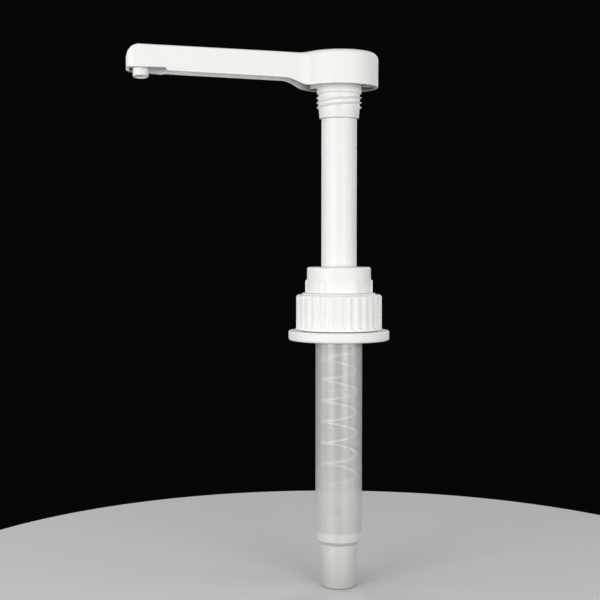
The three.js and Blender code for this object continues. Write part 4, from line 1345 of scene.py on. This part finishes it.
world = bpy.data.worlds.new("studio")
bpy.context.scene.world = world
world.use_nodes = True
nodes, links = world.node_tree.nodes, world.node_tree.links
links.new(shown(nodes, links, DARK_SEEN, DARK_OTHER), nodes["Background"].inputs["Color"])
print("table top at", table_top, "mm")

# %% [markdown]
# Two soft lamps stand left and right of the camera. On a round piece each draws one upright highlight, and
# the space between them stays a little darker, as on the chamber in the photograph. Two weaker lamps at the
# sides keep the outline of the white pieces pale, one overhead fills the top faces, and two behind light the
# back for the views from there. The powers are low enough that no white is clipped from the camera's side.

# %% The lamps
AIM = (0, 0, 0.02)


def lamp(name, azimuth, elevation, distance, width, height, power):
    """An area lamp at angles in degrees, with its distance and size in metres and its power in watts."""
    light = bpy.data.lights.new(name, "AREA")
    light.shape = "RECTANGLE"
    light.size = width
    light.size_y = height
    light.energy = power
    obj = bpy.data.objects.new(name, light)
    bpy.context.scene.collection.objects.link(obj)
    a, e = math.radians(azimuth), math.radians(elevation)
    obj.location = Vector((math.cos(a) * math.cos(e), math.sin(a) * math.cos(e), math.sin(e))) * distance
    obj.rotation_euler = (Vector(AIM) - obj.location).to_track_quat("-Z", "Y").to_euler()
    obj.visible_camera = False


lamp("left_softbox", 219, 4, 0.95, 0.55, 0.5, 5.25)
lamp("right_softbox", 289, 4, 0.95, 0.5, 0.5, 4.5)
lamp("left_side", 178, 4, 1.1, 0.5, 0.6, 2.8)
lamp("right_side", 333, 4, 1.1, 0.5, 0.6, 2.8)
lamp("overhead", 250, 75, 1.0, 0.8, 0.8, 2.8)
lamp("back_left", 125, 30, 1.1, 0.7, 0.7, 2.2)
lamp("back_right", 50, 30, 1.1, 0.7, 0.7, 2.2)

# %% [markdown]
# The camera stands where the photographer stood: a little below the head, so that one sees up under the
# spout and the head, and a little above the cap. Its place was worked out from the ellipses of the head, the
# flange and the chamber's end, which look the more open the further they are from eye level.

# %% The camera
FOCAL_LENGTH = 70.8
SENSOR_WIDTH = 36
CAMERA_AZIMUTH = math.radians(258)
CAMERA_DISTANCE = 0.573
CAMERA_HEIGHT = 0.0451
CAMERA_TILT = math.radians(90 - 2.57)
CAMERA_TURN = math.radians(79.89 - 90)
camera_data = bpy.data.cameras.new("camera")
camera_data.lens = FOCAL_LENGTH
camera_data.sensor_width = SENSOR_WIDTH
camera = bpy.data.objects.new("camera", camera_data)
bpy.context.scene.collection.objects.link(camera)
camera.location = (CAMERA_DISTANCE * math.cos(CAMERA_AZIMUTH), CAMERA_DISTANCE * math.sin(CAMERA_AZIMUTH),
                   CAMERA_HEIGHT)
camera.rotation_euler = (CAMERA_TILT, 0, CAMERA_TURN)
bpy.context.scene.camera = camera
bpy.context.scene.view_settings.view_transform = "Standard"
print("camera at", [round(v, 4) for v in camera.location])
